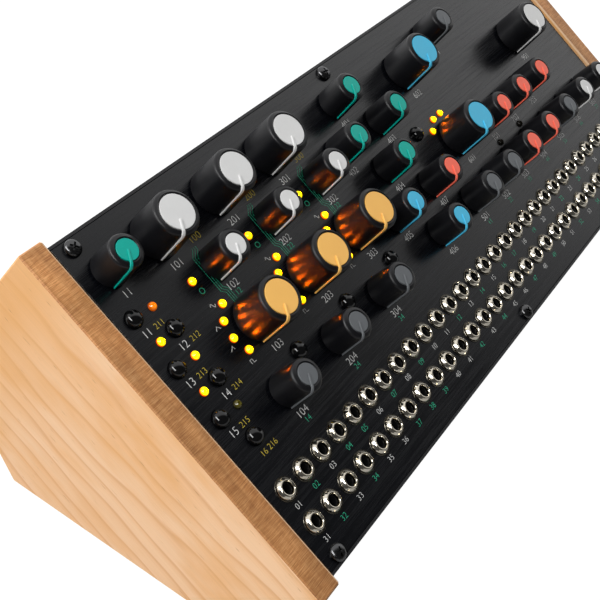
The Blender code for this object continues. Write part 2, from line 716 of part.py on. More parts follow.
bm = bmesh.new()
shank_low = -(SEAT_DEPTH + LEDGE_THICK)
screw_top = GAP + SCREW_HEAD_TALL
screw_profile = [
    (SCREW_SHANK_R, shank_low),
    (SCREW_SHANK_R, GAP),
    (SCREW_HEAD_R, GAP),
    (SCREW_HEAD_R, GAP + SCREW_EDGE_TALL),
    (SCREW_CROWN_R, screw_top),
]
add_turned(bm, PANEL_WIDE / 2, 0.0, SCREW_SIDES, screw_profile)
screw_mesh = make_mesh("panel_screw", bm, [BLACK_STEEL])
for i, (u, v) in enumerate(SCREWS):
    screw = place(f"panel_screw_{i + 1}", screw_mesh, on_panel(u, v), parent=panel_frame)
    bm = bmesh.new()
    slot_low = screw_top - SCREW_SLOT_DEEP
    arm = SCREW_SLOT_LONG / 2
    half = SCREW_SLOT_WIDE / 2
    cross = [
        (arm, -half), (arm, half), (half, half), (half, arm), (-half, arm), (-half, half),
        (-arm, half), (-arm, -half), (-half, -half), (-half, -arm), (half, -arm), (half, -half),
    ]
    rings = [
        [bm.verts.new((x + u - PANEL_WIDE / 2, y - v, h)) for x, y in cross]
        for h in (slot_low, screw_top + GAP)
    ]
    add_faces(bm, rings, len(cross))
    combine(screw, "DIFFERENCE", bm, f"screw_cross_{i + 1}")


# Knobs: a tapered skirt, a sloping shoulder and a flat cap, with a raised pointer down one side

def knob_mesh(name, foot_r, shoulder_r, rim_r, height, cap):
    half = math.asin(RIDGE_WIDE / 2 / foot_r)
    step = 2 * math.pi / KNOB_COLUMNS
    columns = [(-half * RIDGE_FLARE, False), (-half, True), (half, True), (half * RIDGE_FLARE, False)]
    columns += [(i * step, False) for i in range(1, KNOB_COLUMNS)]
    profile = ((foot_r, KNOB_LIFT, True), (shoulder_r, height - SHOULDER_DROP, True), (rim_r, height, False))
    bm = bmesh.new()
    rings = []
    for radius, h, ridged in profile:
        ring = []
        for angle, raised in columns:
            lifted = raised and ridged
            r = radius + (RIDGE_PROUD if lifted else 0.0)
            z = h + (RIDGE_RISE if lifted and radius == shoulder_r else 0.0)
            ring.append(bm.verts.new((-r * math.sin(angle), r * math.cos(angle), z)))
        rings.append(ring)
    cap_face = bm.faces.new(rings[-1])
    cap_face.material_index = 1
    count = len(columns)
    for low, high in zip(rings, rings[1:]):
        for i in range(count):
            j = (i + 1) % count
            bm.faces.new((low[i], low[j], high[j], high[i]))
    shaft = []
    for h in (KNOB_LIFT, PANEL_BACK):
        ring = []
        for i in range(SHAFT_SIDES):
            angle = 2 * math.pi * i / SHAFT_SIDES
            ring.append(bm.verts.new((-SHAFT_R * math.sin(angle), SHAFT_R * math.cos(angle), h)))
        shaft.append(ring)
    for i in range(SHAFT_SIDES):
        j = (i + 1) % SHAFT_SIDES
        bm.faces.new((shaft[0][i], shaft[0][j], shaft[1][j], shaft[1][i]))
    bm.faces.new(shaft[1])
    edges = [
        bm.edges.get((ring[i], ring[(i + 1) % len(ring)]))
        for ring in (rings[0], shaft[0])
        for i in range(len(ring))
    ]
    bmesh.ops.triangle_fill(bm, edges=edges, use_beauty=True)
    return make_mesh(name, bm, [KNOB_BLACK, cap])


knob_meshes = {}
for name, big, colour, u, v in KNOBS:
    kind = ("big" if big else "small") + "_knob_" + colour
    if kind not in knob_meshes:
        if big:
            sizes = (BIG_FOOT_R, BIG_SHOULDER_R, BIG_RIM_R, BIG_HEIGHT)
        else:
            sizes = (SMALL_FOOT_R, SMALL_SHOULDER_R, SMALL_RIM_R, SMALL_HEIGHT)
        knob_meshes[kind] = knob_mesh(kind, *sizes, CAP_COLOURS[colour])
    place(name, knob_meshes[kind], on_panel(u, v), (0.0, 0.0, -REST_CLOCK), panel_frame)


# Push-buttons: a domed cap with a skirt that the panel holds down

bm = bmesh.new()
key_low = BOARD_TOP + SWITCH_TALL + KEY_TRAVEL + GAP
key_profile = [
    (KEY_SKIRT_R, key_low),
    (KEY_SKIRT_R, PANEL_BACK - GAP),
    (KEY_R, PANEL_BACK - GAP),
    (KEY_R, KEY_EDGE_HEIGHT),
    (KEY_CROWN_R, KEY_HEIGHT),
]
add_turned(bm, PANEL_WIDE / 2, 0.0, KEY_SIDES, key_profile)
key_mesh = make_mesh("button", bm, [BUTTON_BLACK])
for name, u, v in KEYS:
    place(name, key_mesh, on_panel(u, v), parent=panel_frame)
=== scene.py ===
"""Semi-modular synthesizer: the looks of the sloping panel, its knobs, buttons, lamps and patch
sockets, the folded steel case and the wooden cheeks.

Pieces are drawn in millimetres on the panel: x runs right from the panel's left edge, y up the
slope from the case's rear edge (so it is negative on the panel), and z out of the panel.
"""

import json
import math

import bmesh
import bpy
from mathutils import Matrix, Vector

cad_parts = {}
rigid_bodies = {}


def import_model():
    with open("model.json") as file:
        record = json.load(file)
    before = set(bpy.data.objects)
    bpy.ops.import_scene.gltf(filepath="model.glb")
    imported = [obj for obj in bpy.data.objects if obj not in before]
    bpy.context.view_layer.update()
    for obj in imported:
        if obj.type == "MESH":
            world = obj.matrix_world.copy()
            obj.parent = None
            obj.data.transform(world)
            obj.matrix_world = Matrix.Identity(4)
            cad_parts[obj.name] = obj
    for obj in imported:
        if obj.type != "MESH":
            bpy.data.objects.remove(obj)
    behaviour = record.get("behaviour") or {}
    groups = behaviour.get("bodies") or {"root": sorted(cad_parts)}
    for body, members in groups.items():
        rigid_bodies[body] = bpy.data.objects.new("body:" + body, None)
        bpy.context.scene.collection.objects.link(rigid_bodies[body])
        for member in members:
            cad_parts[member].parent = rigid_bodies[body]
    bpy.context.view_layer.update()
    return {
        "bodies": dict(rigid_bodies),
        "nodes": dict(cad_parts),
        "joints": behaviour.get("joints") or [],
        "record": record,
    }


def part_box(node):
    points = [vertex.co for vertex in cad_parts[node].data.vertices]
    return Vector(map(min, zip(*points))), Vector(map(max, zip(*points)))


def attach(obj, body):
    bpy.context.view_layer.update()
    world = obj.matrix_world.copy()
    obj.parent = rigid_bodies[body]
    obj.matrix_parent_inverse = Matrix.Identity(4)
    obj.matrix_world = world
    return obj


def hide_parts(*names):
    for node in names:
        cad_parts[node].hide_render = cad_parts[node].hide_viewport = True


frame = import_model()

MM = 0.001
FULL_TURN = 2 * math.pi
TILT = math.radians(28.0)
REST_CLOCK = math.radians(211.0)

# Sizes in millimetres, the same as in the solids
GLIDE_U = 11.1
FIRST_ROW_V = 16.0
PANEL_WIDE = 309.7
CASE_DEEP = 130.56
WALL = 1.0
GAP = 0.3
SIDE_GAP = 0.75
PANEL_THICK = 2.0
BOARD_TOP = -12.0
BOARD_THICK = 1.6
CHEEK_RISE = 1.2
KEY_HEIGHT = 2.9
KEY_LOW = -6.4
LAMP_R = 1.5
LAMP_HEIGHT = 1.3

HINGES = {joint["child"]: joint for joint in frame["joints"] if joint["type"] == "hinge"}
SLOTS = {part["node"]: part["material_slot"] for part in frame["record"]["subparts"]}
CASE = "case"


# Places on the panel

def panel_matrix():
    """The panel's own axes in the model, read from the glide knob's axis, with millimetres inside."""
    glide = HINGES["glide_knob"]
    out = -Vector(glide["axis"]).normalized()
    right = Vector((1.0, 0.0, 0.0))
    upslope = out.cross(right)
    corner = Vector(glide["pos_m"]) - right * GLIDE_U * MM + upslope * FIRST_ROW_V * MM
    axes = Matrix((right, upslope, out)).transposed().to_4x4()
    return Matrix.Translation(corner) @ axes @ Matrix.Scale(MM, 4)


PANEL = panel_matrix()
TO_PANEL = PANEL.inverted()


def knob_centre(name):
    """The knob's u and v on the panel."""
    place = TO_PANEL @ Vector(HINGES[name]["pos_m"])
    return place.x, -place.y


KNOBS = {name: knob_centre(name) for name in HINGES if name != "power_rocker"}
BUTTONS = sorted(name for name in frame["bodies"] if name.startswith("button_"))


def node_centre(name):
    """The u and v of a piece that stands square to the panel."""
    low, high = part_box(name)
    place = TO_PANEL @ ((Vector(low) + Vector(high)) / 2)
    return place.x, -place.y


def is_big(name):
    """Whether a knob is one of the large ones."""
    return name.startswith(("pitch", "shape", "cutoff", "main"))


# Lamps: one beside each fine knob, five in the key column, arcs around the big knobs

FINE_LAMP_LEFT = 12.35
SHAPE_RING_R = 12.2
SHAPE_RING_CLOCK = (-31.5, -61.3, -91.1, -120.9)
CUTOFF_RING_R = 11.75
CUTOFF_RING_CLOCK = (13.5, -18.0, -49.5)
KEY_LAMPS = ((14.8, 33.0), (8.4, 43.0), (14.8, 53.0), (8.4, 63.0), (14.8, 73.0))
AMP_LAMP_RIGHT = 0.8
AMP_LAMP_UP = 8.2


def around(centre, radius, clock_degrees):
    """The u and v at a radius from a centre, at so many degrees clockwise from its top."""
    angle = math.radians(clock_degrees)
    return centre[0] + radius * math.sin(angle), centre[1] - radius * math.cos(angle)


def lamp_places():
    """Lit, dimmed, and two unlit kinds of lamps, as lists of u and v."""
    lit = []
    for i in (1, 2, 3):
        fine = KNOBS[f"fine_knob_{i}"]
        lit.append((fine[0] - FINE_LAMP_LEFT, fine[1]))
        for clock in SHAPE_RING_CLOCK:
            lit.append(around(KNOBS[f"shape_knob_{i}"], SHAPE_RING_R, clock))
    lit += KEY_LAMPS[1:4]
    for clock in CUTOFF_RING_CLOCK:
        lit.append(around(KNOBS["cutoff_knob_1"], CUTOFF_RING_R, clock))
    unlit = []
    for name in ("row_knob_3", "row_knob_4"):
        knob = KNOBS[name]
        unlit.append((knob[0] + AMP_LAMP_RIGHT, knob[1] - AMP_LAMP_UP))
    return {"lit": lit, "dimmed": KEY_LAMPS[:1], "olive": KEY_LAMPS[4:], "dark": unlit}


LAMPS = lamp_places()

JACK_PITCH = 10.16
JACK_COLUMNS = 30
JACK_ROWS = 2
JACK_ROW_PITCH = 13.36
JACK_FIRST_U = 7.53
JACK_FIRST_V = 102.0
JACKS = [
    (JACK_FIRST_U + i * JACK_PITCH, JACK_FIRST_V + row * JACK_ROW_PITCH)
    for row in range(JACK_ROWS)
    for i in range(JACK_COLUMNS)
]
SCREWS = [node_centre(f"panel_screw_{i}") for i in range(1, 7)]


# Colours and material nodes

# A Mix node has sockets for each kind of value: these are its two colours in and its colour out
COLOUR_A = 6
COLOUR_B = 7
MIXED_COLOUR = 2
MIX = {"data_type": "RGBA"}
MULTIPLY = {"data_type": "RGBA", "blend_type": "MULTIPLY"}

# Sizes in mm of the grains in each pattern, along x, y and z. Spark pits, brush lines, mesh dots and
# the wood's fibre and pores are too fine to show, and are drawn as coarse as they need to show.
MILLIMETRE = (1.0, 1.0, 1.0)
GLOSS_PATCH = (25 / 3, 25 / 3, 25 / 3)
SPARK_PIT = (0.25, 0.25, 0.25)
BRUSH_LINE = (100 / 3, 10 / 11, 10 / 11)
PEEL_RIPPLE = (0.625, 0.625, 0.625)
HANDLING_SMEAR = (10 / 9, 10 / 9, 10 / 9)
MESH_DOT = (1 / 3, 1 / 3, 1 / 3)

# Patterns of the wood: grain size in mm through, along and up the board; noise detail and roughness
WOOD_PATTERNS = {
    "figure": ((500 / 11, 200.0, 500 / 11), 3.0, 0.55),
    "clouds": ((100 / 3, 250 / 3, 100 / 3), 4.0, 0.6),
    "fibre": ((5 / 12, 20.0, 5 / 12), 4.0, 0.75),
    "pores": ((2 / 3, 50 / 7, 2 / 3), 2.0, 0.5),
    "saw_streaks": ((2.0, 100 / 3, 2.0), 4.0, 0.7),
    "saw_ticks": ((5.0, 5 / 18, 2.0), 4.0, 0.7),
    "handled_patches": ((20 / 3, 20.0, 20 / 3), 2.0, 0.5),
}
RING_SPACING = 8.5
RING_WANDER = 40.0
RING_TONES = (
    (0.0, "F5CAA0"), (0.4, "F5CAA0"), (0.78, "F1C193"), (0.93, "E4AF7D"), (1.0, "F3C69C")
)
SAWN_TONES = ((0.36, "9C6337"), (0.5, "C2854E"), (0.63, "DDA56D"))
GOLD_CLOUD = "E8A860"
HEARTWOOD = "E6A964"
PORE = "A9703F"
# A pale strip along the inner edge of the sawn top is a painted highlight, where the eased edge catches
# the light; its colour, then its width in mm
PAINTED_EDGE_HIGHLIGHT = "E4BE98"
EDGE_HIGHLIGHT_WIDE = 0.8
SAWN_DEPTH = 0.5

# Strength of the spot over a lamp's chip, and the shares of the lens's radius where it fades and ends
LIT_CHIP = 530.0
DIM_CHIP = 0.7
NO_CHIP = 0.0
SPOT_FADES = 0.36
SPOT_ENDS = 0.43


def linear(code):
    """An sRGB hex colour as linear light."""
    parts = [int(code[i:i + 2], 16) / 255 for i in (0, 2, 4)]
    return (*[c / 12.92 if c <= 0.04045 else ((c + 0.055) / 1.055) ** 2.4 for c in parts], 1.0)


def two_tones(code, dark, light):
    """A darker and a lighter tone of one sRGB colour, as linear light."""
    base = linear(code)[:3]
    return [c * dark for c in base] + [1.0], [min(1.0, c * light) for c in base] + [1.0]


def feed(node, inputs):
    """Gives a node its input values and links; another node stands for its first output."""
    for key, value in inputs.items():
        if isinstance(value, bpy.types.Node):
            value = value.outputs[0]
        if isinstance(value, bpy.types.NodeSocket):
            node.id_data.links.new(value, node.inputs[key])
        else:
            node.inputs[key].default_value = value


def add(tree, kind, settings=None, inputs=None, stops=()):
    """Adds one node with its settings, its inputs and, for a ramp, its (place, sRGB code) stops."""
    made = tree.nodes.new(kind)
    for key, value in (settings or {}).items():
        setattr(made, key, value)
    feed(made, inputs or {})
    if stops:
        colours = made.color_ramp.elements
        colours[0].position, colours[1].position = stops[0][0], stops[-1][0]
        for place, _ in stops[1:-1]:
            colours.new(place)
        for colour, (_, code) in zip(colours, stops):
            colour.color = linear(code)
    return made


def new_finish(name):
    """A new material with its tree of nodes and the shader in it."""
    material = bpy.data.materials.new(name)
    material.use_nodes = True
    return material, material.node_tree, material.node_tree.nodes["Principled BSDF"]


def grain_places(tree, grain, lean=0.0):
    """Object coordinates that count grains, leant like the panel where the pattern follows it."""
    coordinates = add(tree, "ShaderNodeTexCoord").outputs["Object"]
    return add(
        tree, "ShaderNodeMapping", {"vector_type": "TEXTURE"},
        {"Vector": coordinates, "Rotation": (lean, 0.0, 0.0), "Scale": [size * MM for size in grain]},
    )


def moulded(name, code, roughness, grain=0.12, sheen=0.05, specular=0.5):
    """Moulded plastic or rubber: even colour, with highlights broken by patchy gloss and spark pits."""
    material, tree, shader = new_finish(name)
    patches = add(
        tree, "ShaderNodeTexNoise", None,
        {"Vector": grain_places(tree, GLOSS_PATCH), "Scale": 1.0, "Detail": 3.0},
    )
    dark, light = two_tones(code, 0.93, 1.06)
    colour = add(tree, "ShaderNodeMix", MIX, {"Factor": patches, COLOUR_A: dark, COLOUR_B: light})
    gloss = add(
        tree, "ShaderNodeMapRange", None,
        {"Value": patches, "From Min": 0.3, "From Max": 0.7,
         "To Min": roughness - sheen, "To Max": roughness + sheen},
    )
    pits = add(
        tree, "ShaderNodeTexNoise", None, {"Vector": grain_places(tree, SPARK_PIT), "Scale": 1.0}
    )
    relief = add(
        tree, "ShaderNodeBump", None, {"Height": pits, "Strength": grain, "Distance": 0.03 * MM}
    )
    feed(shader, {
        "Base Color": colour.outputs[MIXED_COLOUR], "Roughness": gloss, "Normal": relief,
        "IOR": 1.5, "Specular IOR Level": specular,
    })
    return material


def brushed_anodising(name, code):
    """Black anodised aluminium: lines along the panel draw its soft reflections into streaks."""
    material, tree, shader = new_finish(name)
    lines = add(
        tree, "ShaderNodeTexNoise", None,
        {"Vector": grain_places(tree, BRUSH_LINE, TILT), "Scale": 1.0, "Detail": 5.0,
         "Roughness": 0.75},
    )
    dark, light = two_tones(code, 0.6, 1.4)
    colour = add(tree, "ShaderNodeMix", MIX, {"Factor": lines, COLOUR_A: dark, COLOUR_B: light})
    gloss = add(
        tree, "ShaderNodeMapRange", None,
        {"Value": lines, "From Min": 0.35, "From Max": 0.65, "To Min": 0.16, "To Max": 0.34},
    )
    relief = add(
        tree, "ShaderNodeBump", None, {"Height": lines, "Strength": 0.13, "Distance": 0.05 * MM}
    )
    feed(shader, {
        "Base Color": colour.outputs[MIXED_COLOUR], "Roughness": gloss, "Normal": relief, "IOR": 1.5,
    })
    return material


def powder_coat(name, code):
    """Black powder coat on folded steel: orange peel that scatters light over a satin surface."""
    material, tree, shader = new_finish(name)
    peel = add(
        tree, "ShaderNodeTexNoise", None, {"Vector": grain_places(tree, PEEL_RIPPLE), "Scale": 1.0}
    )
    dark, light = two_tones(code, 0.85, 1.15)
    colour = add(tree, "ShaderNodeMix", MIX, {"Factor": peel, COLOUR_A: dark, COLOUR_B: light})
    relief = add(
        tree, "ShaderNodeBump", None, {"Height": peel, "Strength": 0.3, "Distance": 0.04 * MM}
    )
    feed(shader, {
        "Base Color": colour.outputs[MIXED_COLOUR], "Roughness": 0.45, "Normal": relief, "IOR": 1.5,
    })
    return material


def plated(name, code, roughness):
    """Plate on turned metal: warm mirror tones with faint handling smears."""
    material, tree, shader = new_finish(name)
    smears = add(
        tree, "ShaderNodeTexNoise", None,
        {"Vector": grain_places(tree, HANDLING_SMEAR), "Scale": 1.0, "Detail": 3.0},
    )
    dark, light = two_tones(code, 0.88, 1.05)
    colour = add(tree, "ShaderNodeMix", MIX, {"Factor": smears, COLOUR_A: dark, COLOUR_B: light})
    gloss = add(
        tree, "ShaderNodeMapRange", None,
        {"Value": smears, "From Min": 0.3, "From Max": 0.7,
         "To Min": roughness - 0.05, "To Max": roughness + 0.08},
    )
    feed(shader, {"Base Color": colour.outputs[MIXED_COLOUR], "Roughness": gloss, "Metallic": 1.0})
    return material


def layered(tree, colour, layers):
    """The colour under its layers.

    Each layer is a value spread from one range to another, which mixes a tint in; without a tint it
    lightens and darkens what is under it.
    """
    for value, start, end, low, high, tint in layers:
        amount = add(
            tree, "ShaderNodeMapRange", None,
            {"Value": value, "From Min": start, "From Max": end, "To Min": low, "To Max": high},
        )
        if tint:
            sockets = {"Factor": amount, COLOUR_A: colour, COLOUR_B: linear(tint)}
        else:
            sockets = {"Factor": 1.0, COLOUR_A: colour, COLOUR_B: amount}
        colour = add(tree, "ShaderNodeMix", MIX if tint else MULTIPLY, sockets).outputs[MIXED_COLOUR]
    return colour


def oiled_maple(name):
    """Oiled maple, satin all over.

    The planed side is pale gold with wandering growth rings, warmer to the rear, and short pores.
    The sawn top edge is browner, ticked across by the saw and darker towards the front.
    """
    material, tree, shader = new_finish(name)
    spot = add(tree, "ShaderNodeSeparateXYZ", None, {"Vector": grain_places(tree, MILLIMETRE, TILT)})
    across, rearward, height = [spot.outputs[axis] for axis in "XYZ"]
    grain = {}
    for key, (size, detail, roughness) in WOOD_PATTERNS.items():
        grain[key] = add(
            tree, "ShaderNodeTexNoise", None,
            {"Vector": grain_places(tree, size, TILT), "Scale": 1.0, "Detail": detail,
             "Roughness": roughness},
        )
    wander = add(
        tree, "ShaderNodeMath", {"operation": "MULTIPLY_ADD"},
        {0: grain["figure"], 1: RING_WANDER, 2: height},
    )
    rings = add(tree, "ShaderNodeMath", {"operation": "DIVIDE"}, {0: wander, 1: RING_SPACING})
    ring = add(tree, "ShaderNodeMath", {"operation": "FRACT"}, {0: rings})
    growth = add(tree, "ShaderNodeValToRGB", None, {"Fac": ring}, RING_TONES)
    board = layered(tree, growth, (
        (grain["clouds"], 0.48, 0.68, 0.0, 0.75, GOLD_CLOUD),
        (rearward, 48.0, 80.0, 0.0, 0.75, HEARTWOOD),
        (grain["fibre"], 0.3, 0.7, 0.95, 1.04, None),
        (grain["pores"], 0.7, 0.77, 0.0, 0.6, PORE),
    ))
    sawn = add(
        tree, "ShaderNodeMix", MIX,
        {"Factor": 0.25, COLOUR_A: grain["saw_ticks"], COLOUR_B: grain["saw_streaks"]},
    )
    brown = add(
        tree, "ShaderNodeValToRGB", None, {"Fac": sawn.outputs[MIXED_COLOUR]}, SAWN_TONES
    )
    edge = layered(tree, brown, (
        (grain["handled_patches"], 0.35, 0.65, 0.84, 1.14, None),
        # The top edge is made darker towards the front and lighter towards the rear
        (rearward, -10.0, 80.0, 0.8, 1.06, None),
    ))
    # A pale strip along the inner edge of the top is a painted highlight, where the eased edge catches the
    # light
    off_centre = add(tree, "ShaderNodeMath", {"operation": "ABSOLUTE"}, {0: across})
    highlight_strip = add(
        tree, "ShaderNodeMath", {"operation": "LESS_THAN"},
        {0: off_centre, 1: PANEL_WIDE / 2 + SIDE_GAP + EDGE_HIGHLIGHT_WIDE},
    )
    edge = add(
        tree, "ShaderNodeMix", MIX,
        {"Factor": highlight_strip, COLOUR_A: edge, COLOUR_B: linear(PAINTED_EDGE_HIGHLIGHT)},
    )
    top_height = CHEEK_RISE - (TO_PANEL @ Vector((0.0, 0.0, 0.0))).z
    is_top = add(
        tree, "ShaderNodeMath", {"operation": "GREATER_THAN"}, {0: height, 1: top_height - SAWN_DEPTH}
    )
    colour = add(
        tree, "ShaderNodeMix", MIX,
        {"Factor": is_top, COLOUR_A: board, COLOUR_B: edge.outputs[MIXED_COLOUR]},
    )
    relief = add(
        tree, "ShaderNodeBump", None,
        {"Height": grain["fibre"], "Strength": 0.15, "Distance": 0.05 * MM},
    )
    feed(shader, {
        "Base Color": colour.outputs[MIXED_COLOUR], "Roughness": 0.5, "Normal": relief, "IOR": 1.45,
    })
    return material


def lamp_lens(name, chip, *stops):
    """Tinted epoxy lens: when lit, a fierce spot over its chip, an even glow round that, a deep rim.

    The chip is the spot's strength where the glow's is 1. Without a chip's light nothing glows.
    """
    material, tree, shader = new_finish(name)
    rim = add(tree, "ShaderNodeAttribute", {"attribute_name": "rim"}).outputs["Fac"]
    glow = add(tree, "ShaderNodeValToRGB", None, {"Fac": rim}, stops)
    feed(shader, {"Base Color": glow, "Emission Color": glow, "Roughness": 0.12, "IOR": 1.5})
    if chip:
        strength = add(
            tree, "ShaderNodeMapRange", None,
            {"Value": rim, "From Min": SPOT_FADES, "From Max": SPOT_ENDS, "To Min": chip,
             "To Max": 1.0},
        )
        feed(shader, {"Emission Strength": strength})
    return material


def screen_ink(name, code):
    """Screen-printed enamel ink, a little uneven where the mesh laid it."""
    material, tree, shader = new_finish(name)
    dots = add(
        tree, "ShaderNodeTexNoise", None, {"Vector": grain_places(tree, MESH_DOT), "Scale": 1.0}
    )
    dark, light = two_tones(code, 0.8, 1.1)
    colour = add(tree, "ShaderNodeMix", MIX, {"Factor": dots, COLOUR_A: dark, COLOUR_B: light})
    feed(shader, {"Base Color": colour.outputs[MIXED_COLOUR], "Roughness": 0.5})
    return material


MAPLE = oiled_maple("oiled_maple")
ANODISED = brushed_anodising("brushed_black_anodising", "08090D")
POWDER = powder_coat("black_powder_coat", "1C1C1E")
KNOB_ABS = moulded("satin_black_knob_abs", "0E0E11", 0.39, specular=0.36)
BUTTON_ABS = moulded("gloss_black_button_abs", "080809", 0.09, 0.02, 0.02)
BUTTON_SIDE = moulded("matt_black_button_abs", "09090A", 0.6, specular=0.12)
SOCKET_NYLON = moulded("black_socket_nylon", "0C0C0D", 0.5)
BOARD_LACQUER = moulded("green_board_lacquer", "1C4A2C", 0.35)
NICKEL = plated("bright_nickel_plate", "DAD3C4", 0.12)
DULL_NICKEL = plated("dull_nickel_plate", "7A756A", 0.22)
BLACKED_STEEL = plated("black_zinc_steel", "545455", 0.2)
FOOT_RUBBER = moulded("black_foot_rubber", "1A1A1A", 0.75)
CAP_COLOURS = {
    "teal": "00A999",
    "white": "DEDEDD",
    "amber": "FDC166",
    "grey": "626568",
    "blue": "4BBBE0",
    "red": "FF715A",
}
CAPS = {
    key: moulded(f"satin_{key}_insert", code, 0.42, 0.06, specular=0.3)
    for key, code in CAP_COLOURS.items()
}
LIT_LENS = lamp_lens(
    "lit_amber_lens", LIT_CHIP, (0.0, "FF6200"), (0.39, "FF6200"), (0.43, "FFF008"),
    (0.88, "FFF008"), (0.96, "FFB000"), (1.0, "D04400"),
)
DIM_LENS = lamp_lens(
    "dimmed_orange_lens", DIM_CHIP, (0.0, "F08C1C"), (0.5, "DA7208"), (1.0, "8E3800")
)
OLIVE_LENS = lamp_lens("unlit_olive_lens", NO_CHIP, (0.0, "7A7018"), (1.0, "2E2A08"))
DARK_LENS = lamp_lens("unlit_dark_lens", NO_CHIP, (0.0, "1E1A10"), (1.0, "14110B"))
WHITE_INK = screen_ink("white_screen_ink", "DADAD8")
YELLOW_INK = screen_ink("yellow_screen_ink", "CDB53C")
GREEN_INK = screen_ink("green_screen_ink", "28AC84")


# Making and placing pieces

def finished(name, mesh, materials, sharp=35.0):
    """An object at the origin whose mesh is moved from panel millimetres to its place."""
    mesh.transform(PANEL)
    mesh.materials.clear()
    for material in materials:
        mesh.materials.append(material)
    mesh.shade_smooth()
    mesh.set_sharp_from_angle(angle=math.radians(sharp))
    made = bpy.data.objects.new(name, mesh)
    bpy.context.scene.collection.objects.link(made)
    return made


def mesh_of(bm):
    """Closes the drawing into a mesh with its faces pointing out."""
    bmesh.ops.recalc_face_normals(bm, faces=bm.faces)
    mesh = bpy.data.meshes.new("shape")
    bm.to_mesh(mesh)
    bm.free()
    return mesh


def fit(made, body, nodes=()):
    """Joins a piece to the model: what it rides on and which solids it stands for, which are hidden."""
    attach(made, body)
    if nodes:
        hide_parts(*nodes)


def turned(bm, profile, sides, centre=(0.0, 0.0)):
    """A turned skin from (radius, height) pairs; a radius of nought closes it at the axis."""
    rings = []
    for radius, height in profile:
        if not radius:
            rings.append([bm.verts.new((centre[0], centre[1], height))])
            continue
        ring = []
        for i in range(sides):
            angle = FULL_TURN * i / sides
            x = centre[0] + radius * math.cos(angle)
            y = centre[1] + radius * math.sin(angle)
            ring.append(bm.verts.new((x, y, height)))
        rings.append(ring)
    for low, high in zip(rings, rings[1:]):
        for i in range(sides):
            j = (i + 1) % sides
            corners = []
            for corner in (low[i % len(low)], low[j % len(low)], high[j % len(high)], high[i % len(high)]):
                if corner not in corners:
                    corners.append(corner)
            bm.faces.new(corners)


def box(bm, low, high):
    """A plain block between two corners."""
    made = bmesh.ops.create_cube(bm, size=1.0)["verts"]
    size = [b - a for a, b in zip(low, high)]
    bmesh.ops.scale(bm, vec=size, verts=made)
    bmesh.ops.translate(bm, vec=[(a + b) / 2 for a, b in zip(low, high)], verts=made)


def fillet(centre_r, centre_h, radius, start, end, steps):
    """Points of an arc in the turning plane, from one angle in degrees to another."""
    points = []
    for i in range(steps + 1):
        angle = math.radians(start + (end - start) * i / steps)
        points.append((centre_r + radius * math.cos(angle), centre_h + radius * math.sin(angle)))
    return points


def cut(mesh, cutter_mesh):
    """The mesh with the cutter's shape taken away."""
    body = bpy.data.objects.new("body_to_cut", mesh)
    tool = bpy.data.objects.new("cutter", cutter_mesh)
    for made in (body, tool):
        bpy.context.scene.collection.objects.link(made)
    modifier = body.modifiers.new("cut", "BOOLEAN")
    modifier.operation = "DIFFERENCE"
    modifier.solver = "EXACT"
    modifier.object = tool
    graph = bpy.context.evaluated_depsgraph_get()
    result = bpy.data.meshes.new_from_object(body.evaluated_get(graph))
    bpy.data.objects.remove(body)
    bpy.data.objects.remove(tool)
    return result


# Geometry node trees

def new_tree(name, sockets):
    """A geometry node tree with named inputs."""
    tree = bpy.data.node_groups.new(name, "GeometryNodeTree")
    tree.interface.new_socket("Geometry", in_out="OUTPUT", socket_type="NodeSocketGeometry")
    tree.interface.new_socket("Geometry", in_out="INPUT", socket_type="NodeSocketGeometry")
    for label, kind in sockets:
        tree.interface.new_socket(label, in_out="INPUT", socket_type=kind)
    return tree, add(tree, "NodeGroupInput"), add(tree, "NodeGroupOutput")


def scatter_tree():
    """Sets a copy of a pattern piece on every point, each turned by its own fixed amount."""
    tree, inputs, output = new_tree("copies_on_places", (
        ("Pattern", "NodeSocketObject"),
        ("Largest turn", "NodeSocketFloat"),
        ("Seed", "NodeSocketInt"),
        ("Finish", "NodeSocketMaterial"),
    ))
    pattern = add(tree, "GeometryNodeObjectInfo", None, {"Object": inputs.outputs["Pattern"]})
    angle = add(
        tree, "FunctionNodeRandomValue", {"data_type": "FLOAT"},
        {"Max": inputs.outputs["Largest turn"], "Seed": inputs.outputs["Seed"]},
    )
    spin = add(tree, "ShaderNodeCombineXYZ", None, {"Z": angle.outputs[1]})
    copies = add(
        tree, "GeometryNodeInstanceOnPoints", None,
        {"Points": inputs.outputs["Geometry"], "Instance": pattern.outputs["Geometry"],
         "Rotation": spin.outputs["Vector"]},
    )
    real = add(tree, "GeometryNodeRealizeInstances", None, {"Geometry": copies.outputs["Instances"]})
    painted = add(
        tree, "GeometryNodeSetMaterial", None,
        {"Geometry": real.outputs["Geometry"], "Material": inputs.outputs["Finish"]},
    )
    tree.links.new(painted.outputs["Geometry"], output.inputs["Geometry"])
    return tree


SCATTER = scatter_tree()


